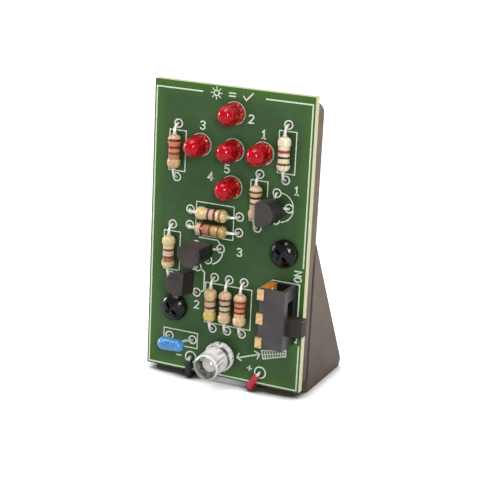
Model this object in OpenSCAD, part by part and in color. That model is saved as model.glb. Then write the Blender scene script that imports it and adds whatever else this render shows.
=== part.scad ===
// Infrared tester: a board of components on a wedge shaped battery case.
// Millimetres. The board stands upright and faces -Y, +Z is up,
// and the origin is on the surface that the case stands on, under the middle of the case.

/* [Board] */
// Thickness of the board
pcb_t = 1.6; // [1.2:0.1:2]
// Height from the top lamp to the upper edge of the board
top_margin = 4.7; // [4:0.1:8]
// Diameter of a component hole
hole_d = 1; // [0.95:0.01:1.15]
// Length of the leads behind the board
lead_tail = 1.2; // [0.8:0.1:1.5]
// Diameter of a solder joint on the board
solder_d = 2; // [1.8:0.05:2.2]
// Height of a solder joint
solder_h = 0.9; // [0.5:0.1:1.2]

/* [Case] */
// Floor thickness of the tray behind the board
tray_floor = 0.9; // [0.8:0.1:1.6]
// Wall thickness round the tray
tray_wall = 1.6; // [1.2:0.1:2.4]
// Corner radius of the tray
tray_corner_r = 2; // [1:0.1:3]
// How far the feet stand in from the sides of the tray
foot_inset = 1.4; // [0.5:0.1:2]
// How far the tray stays below the upper edge of the board
tray_top_drop = 1.4; // [0.5:0.1:3]
// Distance from the right side of the tray to the gap between the feet, where the leads pass
right_foot = 7.3; // [6.6:0.1:8.2]
// Height of the battery cover
cover_h = 29.4; // [27:0.1:36]
// Wall thickness of the battery cover
cover_wall = 1; // [0.8:0.1:1.6]
// Radius of the rear lower edge of the battery cover
cover_corner_r = 1.3; // [1:0.1:3]
// Gap of the seam between the tray and the battery cover
seam_gap = 0.3; // [0.2:0.05:0.6]
// Thickness of the saddles that hold the cell
saddle_t = 1.6; // [1:0.1:3]
// Distance between the two saddles
saddle_pitch = 8; // [5:0.5:10]

/* [Cell] */
// Diameter of the cell
cell_d = 10.3; // [9.5:0.1:11.5]
// Length of the cell with its terminal
cell_len = 28.5; // [28:0.1:32]
// Thickness of the contact plates
contact_t = 0.3; // [0.2:0.05:0.5]

/* [Resistors] */
// Length of a resistor body over the necks on its leads
resistor_len = 7; // [6:0.1:7.8]
// Diameter of the rounded ends
resistor_end_d = 2.5; // [2.2:0.1:2.8]
// Diameter of the waist
resistor_mid_d = 2.1; // [1.6:0.1:2.2]
// Distance between the two lead holes
resistor_pitch = 10.16; // [9.8:0.01:11]
// Lead diameter
resistor_lead_d = 0.56; // [0.4:0.02:0.7]

/* [Lamps] */
// Diameter of a small lamp
lamp_d = 3.4; // [3:0.1:3.8]
// Height of a small lamp over the board
lamp_h = 5; // [4.6:0.1:6]
// Diameter of the clear sensor
sensor_d = 5; // [4.6:0.1:5.4]
// Height of the clear sensor over its flange
sensor_h = 7.5; // [6.8:0.1:8.6]
// Height of the sensor's shallow front dome
sensor_dome = 1.2; // [0.6:0.1:2.3]
// Height of the sensor's flange over the board
sensor_lift = 1.4; // [1:0.1:2.5]
// Downward tilt of the sensor in degrees
sensor_tilt = 3; // [0:0.1:4.5]
// Side of the square lamp leads
frame_lead = 0.5; // [0.4:0.02:0.56]
// Distance between the two leads of a lamp
lamp_pitch = 2.54; // [2.4:0.01:2.7]

/* [Transistors] */
// Diameter of a transistor body
transistor_d = 4.7; // [4.3:0.1:5.2]
// Length of a transistor body
transistor_len = 4.9; // [4.4:0.1:5.4]
// Distance from the body's axis to its flat
transistor_flat = 1.35; // [1.1:0.05:1.7]
// Lead diameter
transistor_lead_d = 0.5; // [0.4:0.02:0.6]
// Distance from the middle of the hole group to each hole
transistor_spread = 2.54; // [2.4:0.01:2.7]

/* [Capacitor] */
// Length of the dipped body
cap_len = 5.5; // [5:0.1:6.2]
// Diameter of the thick end
cap_d = 2.6; // [2.2:0.05:3]
// Diameter of the thin end
cap_thin_d = 2.3; // [2:0.05:2.8]
// Distance between the two lead holes
cap_pitch = 5; // [4.6:0.02:5.4]
// Height of the body's axis over the board
cap_lift = 4.5; // [4:0.1:5.6]

/* [Slide switch] */
// Length of the switch
switch_len = 11.3; // [11:0.1:12.5]
// Width of the switch over its terminals
switch_w = 5.3; // [5:0.1:6]
// Height of the switch over the board
switch_h = 6; // [5.4:0.1:7]
// Wall thickness of the housing
switch_wall = 0.8; // [0.6:0.05:1]
// Thickness of the insulating plate
plate_t = 1.2; // [1:0.05:1.4]
// Distance between the terminals
terminal_pitch = 4.6; // [4.4:0.05:4.7]
// Width of a terminal
terminal_w = 2; // [1.6:0.1:2.4]
// Thickness of a terminal
terminal_t = 0.35; // [0.25:0.01:0.45]
// Length of the terminal tabs over the front of the housing
tab_len = 1.3; // [1:0.05:1.8]
// Length of the knob along its travel
knob_len = 3.25; // [2.8:0.05:3.6]
// Thickness of the knob
knob_t = 2.6; // [2.2:0.05:3]
// How far the knob stands past the edge of the board
knob_reach = 1.5; // [1:0.1:3]
// Travel of the knob
knob_travel = 3; // [2.6:0.1:3.2]

/* [Leads and screws] */
// Outer diameter of the two battery leads
lead_d = 1.3; // [1.1:0.05:1.5]
// Diameter of the bare lead ends
lead_core_d = 0.6; // [0.4:0.05:0.7]
// Diameter of a screw head
screw_head_d = 5.3; // [4.8:0.1:5.8]
// Height of a screw head
screw_head_h = 2; // [1.6:0.1:2.6]
// Diameter of the screw thread
screw_d = 2.9; // [2.5:0.1:3]
// Diameter of the screw holes in the board
screw_hole_d = 3.2; // [3.1:0.1:3.6]
// Diameter of the screw bosses in the tray
boss_d = 6; // [5.4:0.1:6.4]

/* [Hidden] */
$fn = 48;
cut = 1;

// Clearances
seat_gap = 0.02;
solder_gap = 0.03;
run_gap = 0.1;
lead_gap = 0.05;
lead_lift = 0.35;
tilt_gap = 0.05;
tail_gap = 0.6;
cell_gap = 0.15;
cell_end_gap = 0.25;
blade_gap = 0.25;
slope_gap = 0.88;
saddle_gap = 0.5;
tongue_gap = 0.3;

// The case is as wide as the cell, its contacts and the cover's walls, and the board is as wide as the case.
case_w = cell_len + 2 * (cell_end_gap + contact_t + blade_gap + cover_wall);
foot_drop = lead_d + 2 * lead_gap;
tray_d = lead_tail + tail_gap + tray_floor;
tray_back = pcb_t + tray_d;
cover_front = tray_back + seam_gap;
tail_end = -pcb_t - lead_tail;

// Places on the board: a share of its width, the distance to the right of there and the height
mid = case_w / 2;
function placed(share, off) = [for (i = [0 : len(off) - 1]) [case_w * share[i] + off[i].x, off[i].y]];
resistor_share = [0, 1, 1, 0.5, 0.5, 0, 0.5, 0.5, 0.5];
resistor_off = [
    [5.08, 43], [-5, 45.38], [-10.1, 35.65], [-2.77, 32.1], [-2.77, 29.09],
    [4.59, 23.57], [-2.25, 14.56], [0.8, 14.56], [3.88, 14.56]
];
resistor_at = placed(resistor_share, resistor_off);
resistor_turn = [90, 90, 90, 0, 0, 90, 90, 90, 90];
lamp_share = [1, 0.5, 0, 0.5, 0.5];
lamp_off = [[-9.7, 44.65], [0.35, 51.3], [9.8, 44.65], [0.4, 37.5], [0.4, 44.5]];
lamp_at = placed(lamp_share, lamp_off);
sensor_off = [0.3, 5];
sensor_at = [mid + sensor_off.x, sensor_off.y];
transistor_share = [1, 0, 0];
transistor_off = [[-6.53, 35.15], [10.15, 18.6], [12.26, 25.4]];
transistor_at = placed(transistor_share, transistor_off);
// Height of each transistor over the board, its shift from its holes, its turn and its upward lean in degrees
transistor_lift = [1.3, 3.4, 3.6];
transistor_shift = [[-0.3, 0], [-0.3, 0.6], [0, 0.4]];
transistor_turn = [90, -90, 0];
transistor_lean = [1, 7, 1.5];
cap_at = [7.19, 6.36];
black_pad = [9.44, 2.8];
red_inset = [7.97, 2.54];
red_pad = [case_w - red_inset.x, red_inset.y];
left_screw = [5.7, 12.45];
right_screw_inset = 4.35;
right_screw_z = 26.6;
screw_at = [left_screw, [case_w - right_screw_inset, right_screw_z]];
switch_inset = 1.4;
switch_y = 9.8;

pcb_h = lamp_at[1].y + top_margin;
tray_h = pcb_h - tray_top_drop;

// Cell in its case
cell_r = cell_d / 2;
saddle_arm = 1;
saddle_mouth = 1;
cell_y = cover_wall - foot_drop + saddle_gap + saddle_arm + cell_gap + cell_r;
cell_depth = tray_back + contact_t + cell_gap + cell_r;
cell_nub = [4, 1];
cell_crimp = 0.4;

// The slope of the cover runs from its top edge and passes the cell.
min_corner_r = 0.2;
slope_ray = [cell_depth - cover_front, cell_y + foot_drop - cover_h];
slope_angle = -atan2(slope_ray.y, slope_ray.x)
    - asin((cell_r + slope_gap + cover_wall) / norm(slope_ray));
cover_depth = cover_h / tan(slope_angle);

// Middle of the rest face
rest_depth = cover_front + cover_depth / 2;

// Resistors: half of the outline, from the waist over the rounded end to the neck
resistor_end_r = resistor_end_d / 2;
resistor_lift = 0.25;
resistor_axis = resistor_end_r + resistor_lift;
resistor_half = resistor_len / 2;
resistor_bend_gap = 0.1;
resistor_bend_r = min(resistor_axis, resistor_pitch / 2 - resistor_half) - resistor_bend_gap;
neck_r = resistor_lead_d / 2 + 0.1;
neck_len = 0.35;
shoulder_len = 0.9;
resistor_waist = 0.38 * resistor_half;
resistor_flare = 0.5 * resistor_half;
resistor_bulge = resistor_half - neck_len - shoulder_len;
resistor_outline = concat(
    [[resistor_mid_d / 2, resistor_waist], [resistor_end_r, resistor_flare]],
    [for (a = [0 : 18 : 90])
        [neck_r + (resistor_end_r - neck_r) * cos(a), resistor_bulge + shoulder_len * sin(a)]],
    [[neck_r, resistor_half], [0, resistor_half]]
);

// Lamps
flange_t = 1;
flange_step = 0.42;
flange_flat = 0.2;
frame_hold = 2.2;
cup_d = 1.5;
cup_h = 0.8;
sensor_frame_hold = 3.6;
sensor_cup_d = 2;

// Transistors
transistor_pin_pitch = 1.27;
transistor_taper = 0.2;
transistor_stub = 0.35;

// Capacitor: the leads bend up and in from their holes to the body
cap_lead_d = transistor_lead_d;
cap_shift = 0.25;
cap_lead_in = 1.35;
cap_lead_rise = 0.4;
cap_bend = [[0, 0], [0.1, 0.5], [0.4, 1], [0.8, 0.8], [1, 0.3], [1, 0]];
cap_bend_from = 0.35;
cap_hold = 0.6;

// Slide switch
switch_right = case_w - switch_inset;
switch_left = switch_right - switch_w;
switch_mid = switch_y + switch_len / 2;
plate_x = switch_left + terminal_t;
plate_end = plate_x + plate_t;
rivet_d = 1;
contact_head = [1.8, 0.3];
pin_w = 0.8;
wiper = [0.25, switch_len - 2 * switch_wall - knob_travel - 3 * run_gap, 2];
wiper_bump = [0.8, 0.5];
carriage_len = wiper[1] - wiper_bump[0];
carriage_x = plate_end + contact_head[1] + run_gap + wiper_bump[1] + wiper[0];
carriage_end = switch_right - switch_wall - run_gap;
carriage_h = switch_h - 2 * switch_wall - 2 * run_gap;
knob_end = case_w + knob_reach;
knob_mid = switch_mid - knob_travel / 2;
knob_rib = 0.2;
rib_count = 6;

// Tray
recess_y = 1.2;
notch_gap = 0.3;
notch_x = black_pad.x - lead_d / 2 - notch_gap;
notch_end = case_w - right_foot;
lead_in = cover_wall - foot_drop + lead_lift + lead_d / 2;
notch_top = lead_in + lead_d / 2 + lead_gap;
tongue_t = 1;
tongue_len = 2;
foot_tongue_w = 2.5;
top_tongue_w = 16;
top_tongue_y = 20.5;
stake_d = 1.2;
stake_h = 0.4;

// Contact plates
blade_x = cell_len / 2 + cell_end_gap;
blade_half = 3.6;
blade_past = 3;
contact_foot = [4.5, 3];
contact_foot_y = lead_in + 1.2;
contact_dimple_d = 3;
stake_x = blade_x - contact_foot.x / 2;
stake_y = contact_foot_y + contact_foot.y / 2;

// Screws
screw_rim = 0.5;
screw_slot = [0.7, 2.9, 1.2];

// Routes of the two battery leads: right, up and out of the board.
// Each lies on the board, goes round its lower edge, between the feet and up to its contact plate.
lead_sides = 8;
bend_step = 22.5;
lead_front = lead_d / 2 + 2 * lead_gap;
lead_low = lead_gap - lead_front;
lead_rear = -tray_back - contact_t - lead_d / 2 - seat_gap;
red_end = case_w / 2 + blade_x - contact_foot.x + 1.15;
function edge_bend(from, to) = [
    for (a = [0 : bend_step : 90])
        [from + (to - from) * a / 90, lead_low + lead_front * (1 - sin(a)), lead_front * cos(a)]
];
function rear_run(from, to) = [
    for (q = [
        [0, lead_low, tray_d + lead_d / 4], [0, lead_low + 0.2, 2.37], [0, lead_in - 0.5, 1.5],
        [0.05, lead_in, 0.67], [0.2, lead_in + 0.3, -0.03], [0.5, lead_in + 0.7, -0.23],
        [0.75, lead_in + 1.3, 0], [1, lead_in + 1.9, 0]
    ]) [from + (to - from) * q.x, q.y, lead_rear + q.z]
];
red_run = [[0.38, 1.95], [0.83, 1.25], [1.33, 0.5]];
red_edge = 1.53;
red_under = 1.83;
black_run = [2.2, 1.3, 0.5];
red_route = concat(
    [for (q = red_run) [red_pad.x - q.x, q.y, lead_front]],
    edge_bend(red_pad.x - red_edge, red_pad.x - red_under),
    rear_run(red_pad.x - red_under, red_end)
);
black_route = concat(
    [for (y = black_run) [black_pad.x, y, lead_front]],
    edge_bend(black_pad.x, black_pad.x),
    rear_run(black_pad.x, case_w - red_end)
);
bare_run = 0.3;
bare_rise = 0.4;

function turned(p, a) = [p.x * cos(a) - p.y * sin(a), p.x * sin(a) + p.y * cos(a)];
function pair(p, pitch, a) = [for (s = [-1, 1]) p + turned([s * pitch / 2, 0], a)];
function transistor_pins(i) = [
    for (q = [[-1, 0], [0, -1], [1, 0]]) transistor_at[i] + turned(q * transistor_spread, transistor_turn[i])
];

// Holes of the components, grouped by the form of their leads
terminal_holes = [
    for (s = [-1, 0, 1]) [switch_left + terminal_t / 2, switch_mid + s * terminal_pitch]
];
resistor_holes = [
    for (i = [0 : len(resistor_at) - 1]) each pair(resistor_at[i], resistor_pitch, resistor_turn[i])
];
lamp_holes = [for (p = concat(lamp_at, [sensor_at])) each pair(p, lamp_pitch, 0)];
transistor_holes = [for (i = [0 : len(transistor_at) - 1]) each transistor_pins(i)];
cap_holes = pair(cap_at, cap_pitch, 0);
wire_holes = [black_pad, red_pad];
round_holes = concat(resistor_holes, transistor_holes, cap_holes, wire_holes);
all_holes = concat(round_holes, lamp_holes, terminal_holes);
square_lead_r = frame_lead / sqrt(2) + tilt_gap;
pin_lead_r = norm([pin_w, terminal_t]) / 2;
round_lead_r = max(resistor_lead_d, transistor_lead_d, lead_core_d) / 2;

// The pieces are drawn on the board: X right, Y up and Z out of its front face.
module stand_up() {
    translate([-case_w / 2, -rest_depth, foot_drop]) rotate([90, 0, 0]) children();
}

// Side views are drawn with X to the rear and Y up, and run across the case.
module across(x, width) {
    translate([x, 0, 0]) rotate([0, 90, 0]) linear_extrude(width) children();
}

module drill(p, d, from, to) {
    translate([p.x, p.y, from]) cylinder(d = d, h = to - from);
}

module rounded_plate(w, h, r, t) {
    linear_extrude(t) {
        translate([r, 0]) square([w - 2 * r, h]);
        translate([0, r]) square([w, h - 2 * r]);
        for (x = [r, w - r]) for (y = [r, h - r]) translate([x, y]) circle(r);
    }
}

// Round tube along a list of points
function unit(v) = v / norm(v);
function headings(p) = [
    for (i = [0 : len(p) - 1]) unit(p[min(i + 1, len(p) - 1)] - p[max(i - 1, 0)])
];
function square_to(t) = unit(cross(t, abs(t.x) < 0.7 ? [1, 0, 0] : [0, 1, 0]));
function carried(t) = [
    for (i = 0, n = square_to(t[0]); i < len(t);
         i = i + 1, n = i < len(t) ? unit(n - (n * t[i]) * t[i]) : n) n
];
module tube(p, d, sides) {
    t = headings(p);
    n = carried(t);
    last = len(p) - 1;
    points = [
        for (i = [0 : last]) for (k = [0 : sides - 1])
            p[i] + d / 2 * (cos(360 * k / sides) * n[i] + sin(360 * k / sides) * cross(t[i], n[i]))
    ];
    walls = [
        for (i = [0 : last - 1]) for (k = [0 : sides - 1])
            let (a = i * sides + k, b = i * sides + (k + 1) % sides)
            each [[a, a + sides, b], [b, a + sides, b + sides]]
    ];
    ends = [
        for (k = [1 : sides - 2])
            each [[0, k, k + 1], [last * sides, last * sides + k + 1, last * sides + k]]
    ];
    polyhedron(points, concat(walls, ends));
}

module pcb() {
    color("darkgreen") stand_up() difference() {
        translate([0, 0, -pcb_t]) cube([case_w, pcb_h, pcb_t]);
        for (p = all_holes) drill(p, hole_d, -pcb_t - cut, cut);
        for (p = screw_at) drill(p, screw_hole_d, -pcb_t - cut, cut);
    }
}

module solder_joint(p, lead_r) {
    translate([p.x, p.y, -pcb_t - solder_h]) difference() {
        cylinder(d1 = solder_d / 2, d2 = solder_d, h = solder_h);
        translate([0, 0, -cut]) cylinder(r = lead_r + solder_gap, h = solder_h + 2 * cut);
    }
}

module solder_joints() {
    color("silver") stand_up() {
        for (p = round_holes) solder_joint(p, round_lead_r);
        for (p = lamp_holes) solder_joint(p, square_lead_r);
        for (p = terminal_holes) solder_joint(p, pin_lead_r);
    }
}

// Round head with a cross recess
module screw() {
    difference() {
        rotate_extrude() polygon(concat([[0, 0], [screw_head_d / 2, 0]], [
            for (a = [0 : 10 : 90])
                [screw_head_d / 2 * cos(a), screw_rim + (screw_head_h - screw_rim) * sin(a)]
        ]));
        for (a = [45, 135]) rotate(a)
            translate([-screw_slot.x / 2, -screw_slot.y / 2, screw_head_h - screw_slot.z])
                cube([screw_slot.x, screw_slot.y, screw_slot.z + cut]);
    }
    translate([0, 0, -tray_back + run_gap]) cylinder(d = screw_d, h = tray_back - run_gap);
}

module pcb_screws() {
    color("dimgray") stand_up() for (p = screw_at) translate([p.x, p.y, 0]) screw();
}

// Side view of the saddles that clip round the cell
module saddle_view() {
    reach = cell_r + cell_gap + saddle_arm;
    difference() {
        union() {
            translate([cell_depth, cell_y]) circle(reach);
            translate([tray_back - tray_floor / 2, cell_y - reach + saddle_arm])
                square([tray_floor / 2 + cell_r / 2, 2 * (reach - saddle_arm)]);
        }
        translate([cell_depth, cell_y]) circle(cell_r + cell_gap);
        translate([cell_depth + saddle_mouth, cell_y - 2 * cell_d]) square(4 * cell_d);
        translate([tray_back - tray_floor / 2 - cell_d, cell_y - cell_d]) square([cell_d, 2 * cell_d]);
    }
}

module battery_tray() {
    foot_tongue_x = cover_wall + tongue_gap;
    foot_tongue_y = cover_wall - foot_drop + tongue_gap;
    color("#2b2724") stand_up() difference() {
        union() {
            difference() {
                union() {
                    translate([0, 0, -tray_back]) rounded_plate(case_w, tray_h, tray_corner_r, tray_d);
                    translate([foot_inset, -foot_drop, -tray_back])
                        cube([case_w - 2 * foot_inset, foot_drop + recess_y, tray_d]);
                }
                translate([tray_wall, recess_y, tray_floor - tray_back])
                    cube([case_w - 2 * tray_wall, tray_h - tray_wall - recess_y, tray_d]);
                translate([notch_x, -foot_drop - cut, -tray_back - cut])
                    cube([notch_end - notch_x, notch_top + foot_drop + cut, tray_d + 2 * cut]);
            }
            for (p = screw_at) drill(p, boss_d, -tray_back, -pcb_t);
            for (s = [-1, 1]) across(case_w / 2 + s * saddle_pitch / 2 - saddle_t / 2, saddle_t)
                saddle_view();
            for (x = [foot_tongue_x, case_w - foot_tongue_x - foot_tongue_w])
                translate([x, foot_tongue_y, -tray_back - tongue_len])
                    cube([foot_tongue_w, tongue_t, tongue_len + tray_floor]);
            translate([(case_w - top_tongue_w) / 2, top_tongue_y, -tray_back - tongue_len])
                cube([top_tongue_w, tongue_t, tongue_len + tray_floor]);
            for (s = [-1, 1])
                translate([case_w / 2 + s * stake_x, stake_y, -tray_back - contact_t - stake_h])
                    cylinder(d = stake_d, h = contact_t + stake_h + tray_floor);
        }
        for (p = screw_at) drill(p, screw_d + 2 * seat_gap, -tray_back - cut, cut);
    }
}

// Side view of the cover, drawn in by a wall and out past its open front
module cover_view(inset, past) {
    r = max(cover_corner_r - inset, min_corner_r);
    low = inset - foot_drop;
    top = cover_h - foot_drop - inset / cos(slope_angle);
    tip = cover_front + (top - low) / tan(slope_angle);
    run = r / tan(slope_angle / 2);
    polygon([
        [cover_front - past, low], [tip - run, low],
        [tip - run * cos(slope_angle), low + run * sin(slope_angle)],
        [cover_front - past, top + past * tan(slope_angle)]
    ]);
    translate([tip - run, low + r]) circle(r);
}

module battery_cover() {
    color("#38332f") stand_up() difference() {
        across(0, case_w) cover_view(0, 0);
        across(cover_wall, case_w - 2 * cover_wall) cover_view(cover_wall, cut);
    }
}

module battery_cell() {
    body_len = cell_len - cell_nub[1];
    color("#8a8f94") stand_up()
        translate([(case_w - cell_len) / 2, cell_y, -cell_depth]) rotate([0, 90, 0]) {
            cylinder(d = cell_d - 2 * cell_crimp, h = body_len);
            translate([0, 0, cell_crimp]) cylinder(d = cell_d, h = body_len - 2 * cell_crimp);
            cylinder(d = cell_nub[0], h = cell_len);
        }
}

// Plate that stands at an end of the cell, with a foot staked to the tray
module contact_plate() {
    translate([case_w / 2, 0, -tray_back]) difference() {
        union() {
            translate([blade_x, contact_foot_y, tray_back - cell_depth - blade_past])
                cube([contact_t, cell_y + blade_half - contact_foot_y, cell_depth - tray_back + blade_past]);
            translate([blade_x - contact_foot.x, contact_foot_y, -contact_t])
                cube([contact_foot.x + contact_t, contact_foot.y, contact_t]);
            translate([blade_x - cell_end_gap + seat_gap, cell_y, tray_back - cell_depth]) rotate([0, 90, 0])
                cylinder(d = contact_dimple_d, h = cell_end_gap - seat_gap + contact_t);
        }
        translate([stake_x, stake_y, -contact_t - cut])
            cylinder(d = stake_d + 2 * seat_gap, h = contact_t + 2 * cut);
    }
}

module positive_contact() {
    color("gainsboro") stand_up() contact_plate();
}

module negative_contact() {
    color("gainsboro") stand_up() translate([case_w, 0, 0]) mirror([1, 0, 0]) contact_plate();
}

module red_lead() {
    color("crimson") stand_up() tube(red_route, lead_d, lead_sides);
}

module black_lead() {
    color("#1c1a19") stand_up() tube(black_route, lead_d, lead_sides);
}

// Bare end of a lead, from its insulation into its hole
module lead_end(route, pad) {
    start = route[0] + seat_gap * unit(route[0] - route[1]);
    ahead = start + bare_run * unit(route[0] - route[1]);
    tube([start, ahead, [pad.x, pad.y, bare_rise], [pad.x, pad.y, 0], [pad.x, pad.y, tail_end]],
         lead_core_d, lead_sides);
}

module lead_ends() {
    color("silver") stand_up() {
        lead_end(red_route, red_pad);
        lead_end(black_route, black_pad);
    }
}

// Channel that is open at both ends, with a slot for the knob
module switch_housing() {
    slot = [knob_len + knob_travel + 2 * run_gap, knob_t + 2 * run_gap];
    color("#262321") stand_up() difference() {
        translate([plate_x, switch_y, 0]) cube([switch_right - plate_x, switch_len, switch_h]);
        translate([plate_x - cut, switch_y - cut, switch_wall]) cube([
            switch_right - switch_wall - plate_x + cut, switch_len + 2 * cut, switch_h - 2 * switch_wall
        ]);
        translate([switch_right - switch_wall - cut, switch_mid - slot.x / 2, (switch_h - slot.y) / 2])
            cube([switch_wall + 2 * cut, slot.x, slot.y]);
    }
}

// Plate that closes the side of the channel
module switch_plate() {
    color("#c07a2a") stand_up() difference() {
        translate([plate_x, switch_y, switch_wall + seat_gap])
            cube([plate_t, switch_len, switch_h - 2 * switch_wall - 2 * seat_gap]);
        for (p = terminal_holes) translate([plate_x - cut, p.y, switch_h / 2])
            rotate([0, 90, 0]) cylinder(d = rivet_d + 2 * seat_gap, h = plate_t + 2 * cut);
    }
}

// Strip with a pin for the board, a tab over the front of the housing and a riveted contact
module switch_terminal() {
    translate([0, -terminal_w / 2, 0]) cube([terminal_t, terminal_w, switch_h + terminal_t]);
    translate([0, -terminal_w / 2, switch_h]) cube([tab_len, terminal_w, terminal_t]);
    translate([0, -pin_w / 2, tail_end]) cube([terminal_t, pin_w, switch_h - tail_end]);
    translate([terminal_t / 2, 0, switch_h / 2]) rotate([0, 90, 0]) {
        cylinder(d = rivet_d, h = terminal_t / 2 + plate_t);
        translate([0, 0, terminal_t / 2 + plate_t]) cylinder(d = contact_head[0], h = contact_head[1]);
    }
}

module switch_terminals() {
    color("#d8b26a") stand_up()
        for (p = terminal_holes) translate([switch_left, p.y, 0]) switch_terminal();
}

module switch_slider() {
    rib_step = knob_len / rib_count;
    color("#1f1c1b") stand_up() translate([0, knob_mid, switch_h / 2]) difference() {
        union() {
            translate([carriage_x, -carriage_len / 2, -carriage_h / 2])
                cube([carriage_end - carriage_x, carriage_len, carriage_h]);
            translate([carriage_x, -knob_len / 2, -knob_t / 2])
                cube([knob_end - carriage_x, knob_len, knob_t]);
        }
        for (i = [1 : rib_count - 1])
            translate([knob_end - knob_rib, -knob_len / 2 + i * rib_step - knob_rib / 2, -knob_t / 2 - cut])
                cube([knob_rib + cut, knob_rib, knob_t + 2 * cut]);
    }
}

// Sprung strip on the slider that bridges two contacts
module switch_wiper() {
    color("#d8b26a") stand_up() translate([carriage_x - wiper[0], knob_mid, switch_h / 2]) {
        translate([0, -wiper[1] / 2, -wiper[2] / 2]) cube(wiper);
        for (s = [-1, 1]) translate([-wiper_bump[1], s * terminal_pitch / 2, 0]) rotate([0, 90, 0])
            cylinder(d = wiper_bump[0], h = wiper_bump[1] + wiper[0] / 2);
    }
}

module capacitor_lead(d) {
    for (s = [-1, 1]) translate([cap_at.x, cap_at.y, 0]) tube(concat(
        [[s * cap_pitch / 2, 0, tail_end], [s * cap_pitch / 2, 0, 0]],
        [for (i = [0 : len(cap_bend) - 1]) [
            s * (cap_pitch / 2 + (cap_lead_in - cap_pitch / 2) * cap_bend[i][0]),
            cap_lead_rise * cap_bend[i][1],
            cap_bend_from + (cap_lift + cap_hold - cap_bend_from) * i / (len(cap_bend) - 1)
        ]]
    ), d, lead_sides);
}

// Dipped body, thicker at one end
module capacitor_body() {
    ends = [[-1, cap_d / 2], [1, cap_thin_d / 2]];
    span = cap_len - (cap_d + cap_thin_d) / 2;
    color("#2f7fd0") stand_up() difference() {
        translate([cap_at.x + cap_shift, cap_at.y, cap_lift]) rotate([0, 90, 0]) {
            cylinder(d1 = cap_d, d2 = cap_thin_d, h = span, center = true);
            for (e = ends) translate([0, 0, e[0] * span / 2]) sphere(e[1]);
        }
        capacitor_lead(cap_lead_d + 2 * seat_gap);
    }
}

module capacitor_leads() {
    color("silver") stand_up() capacitor_lead(cap_lead_d);
}

// Two square leads, one of them with a cup, that the lens is cast round
module lead_frame(hold, cup, grow) {
    side = frame_lead + 2 * grow;
    for (s = [-1, 1]) translate([s * lamp_pitch / 2 - side / 2, -side / 2, tail_end - hold[1]])
        cube([side, side, hold[0] + hold[1] - tail_end + grow]);
    translate([-lamp_pitch / 2, -side / 2, hold[0] - frame_lead])
        cube([lamp_pitch / 2, side, frame_lead + grow]);
    translate([0, 0, hold[0] - grow]) cylinder(d = cup + 2 * grow, h = cup_h + 2 * grow);
}

// Round lens with a domed front and a flange that has a flat
module lens(d, h, dome) {
    flange_d = d + 2 * flange_step;
    r = (d * d / 4 + dome * dome) / (2 * dome);
    difference() {
        cylinder(d = flange_d, h = flange_t);
        translate([-flange_d / 2 - cut, -flange_d, -cut])
            cube([cut + flange_flat, 2 * flange_d, flange_t + 2 * cut]);
    }
    cylinder(d = d, h = h - dome);
    translate([0, 0, h - r]) intersection() {
        sphere(r);
        translate([-d, -d, r - dome]) cube(2 * d);
    }
}

module lamp_lens(i) {
    color("red") stand_up() translate([lamp_at[i].x, lamp_at[i].y, 0]) difference() {
        lens(lamp_d, lamp_h, lamp_d / 2);
        lead_frame([frame_hold, 0], cup_d, seat_gap);
    }
}

module lamp_leads(i) {
    color("silver") stand_up() translate([lamp_at[i].x, lamp_at[i].y, 0])
        lead_frame([frame_hold, 0], cup_d, 0);
}

module at_sensor() {
    pivot = pcb_t + solder_h / 2;
    stand_up() translate([sensor_at.x, sensor_at.y, -pivot]) rotate([sensor_tilt, 0, 0])
        translate([0, 0, sensor_lift + pivot]) children();
}

module sensor_lens() {
    color("#e8eef0") at_sensor() difference() {
        lens(sensor_d, sensor_h, sensor_dome);
        lead_frame([sensor_frame_hold, sensor_lift], sensor_cup_d, seat_gap);
    }
}

module sensor_leads() {
    color("silver") at_sensor() lead_frame([sensor_frame_hold, sensor_lift], sensor_cup_d, 0);
}

module at_resistor(i) {
    stand_up() translate([resistor_at[i].x, resistor_at[i].y, resistor_axis])
        rotate([0, 0, resistor_turn[i]]) children();
}

module resistor(i) {
    color("#d8b98a") at_resistor(i) rotate([0, 90, 0]) for (m = [0, 1]) mirror([0, 0, m])
        rotate_extrude() polygon(concat([[0, 0], [resistor_mid_d / 2, 0]], resistor_outline));
}

// Lead that leaves the body, bends and goes through the board
module resistor_lead() {
    reach = resistor_pitch / 2 - resistor_bend_r;
    translate([resistor_half, 0, 0]) rotate([0, 90, 0])
        cylinder(d = resistor_lead_d, h = reach - resistor_half);
    translate([reach, 0, -resistor_bend_r]) rotate([90, 0, 0]) rotate_extrude(angle = 90)
        translate([resistor_bend_r, 0]) circle(d = resistor_lead_d);
    translate([resistor_pitch / 2, 0, tail_end - resistor_axis])
        cylinder(d = resistor_lead_d, h = resistor_axis - resistor_bend_r - tail_end);
}

module resistor_leads(i) {
    color("silver") at_resistor(i) for (a = [0, 180]) rotate(a) resistor_lead();
}

module transistor(i) {
    color("#2e2a28") stand_up() translate(concat(transistor_at[i] + transistor_shift[i], transistor_lift[i]))
        rotate([-transistor_lean[i], 0, 0]) rotate(transistor_turn[i]) difference() {
            cylinder(d1 = transistor_d, d2 = transistor_d - transistor_taper, h = transistor_len);
            translate([-transistor_d, transistor_flat, -cut])
                cube([2 * transistor_d, transistor_d, transistor_len + 2 * cut]);
        }
}

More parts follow.
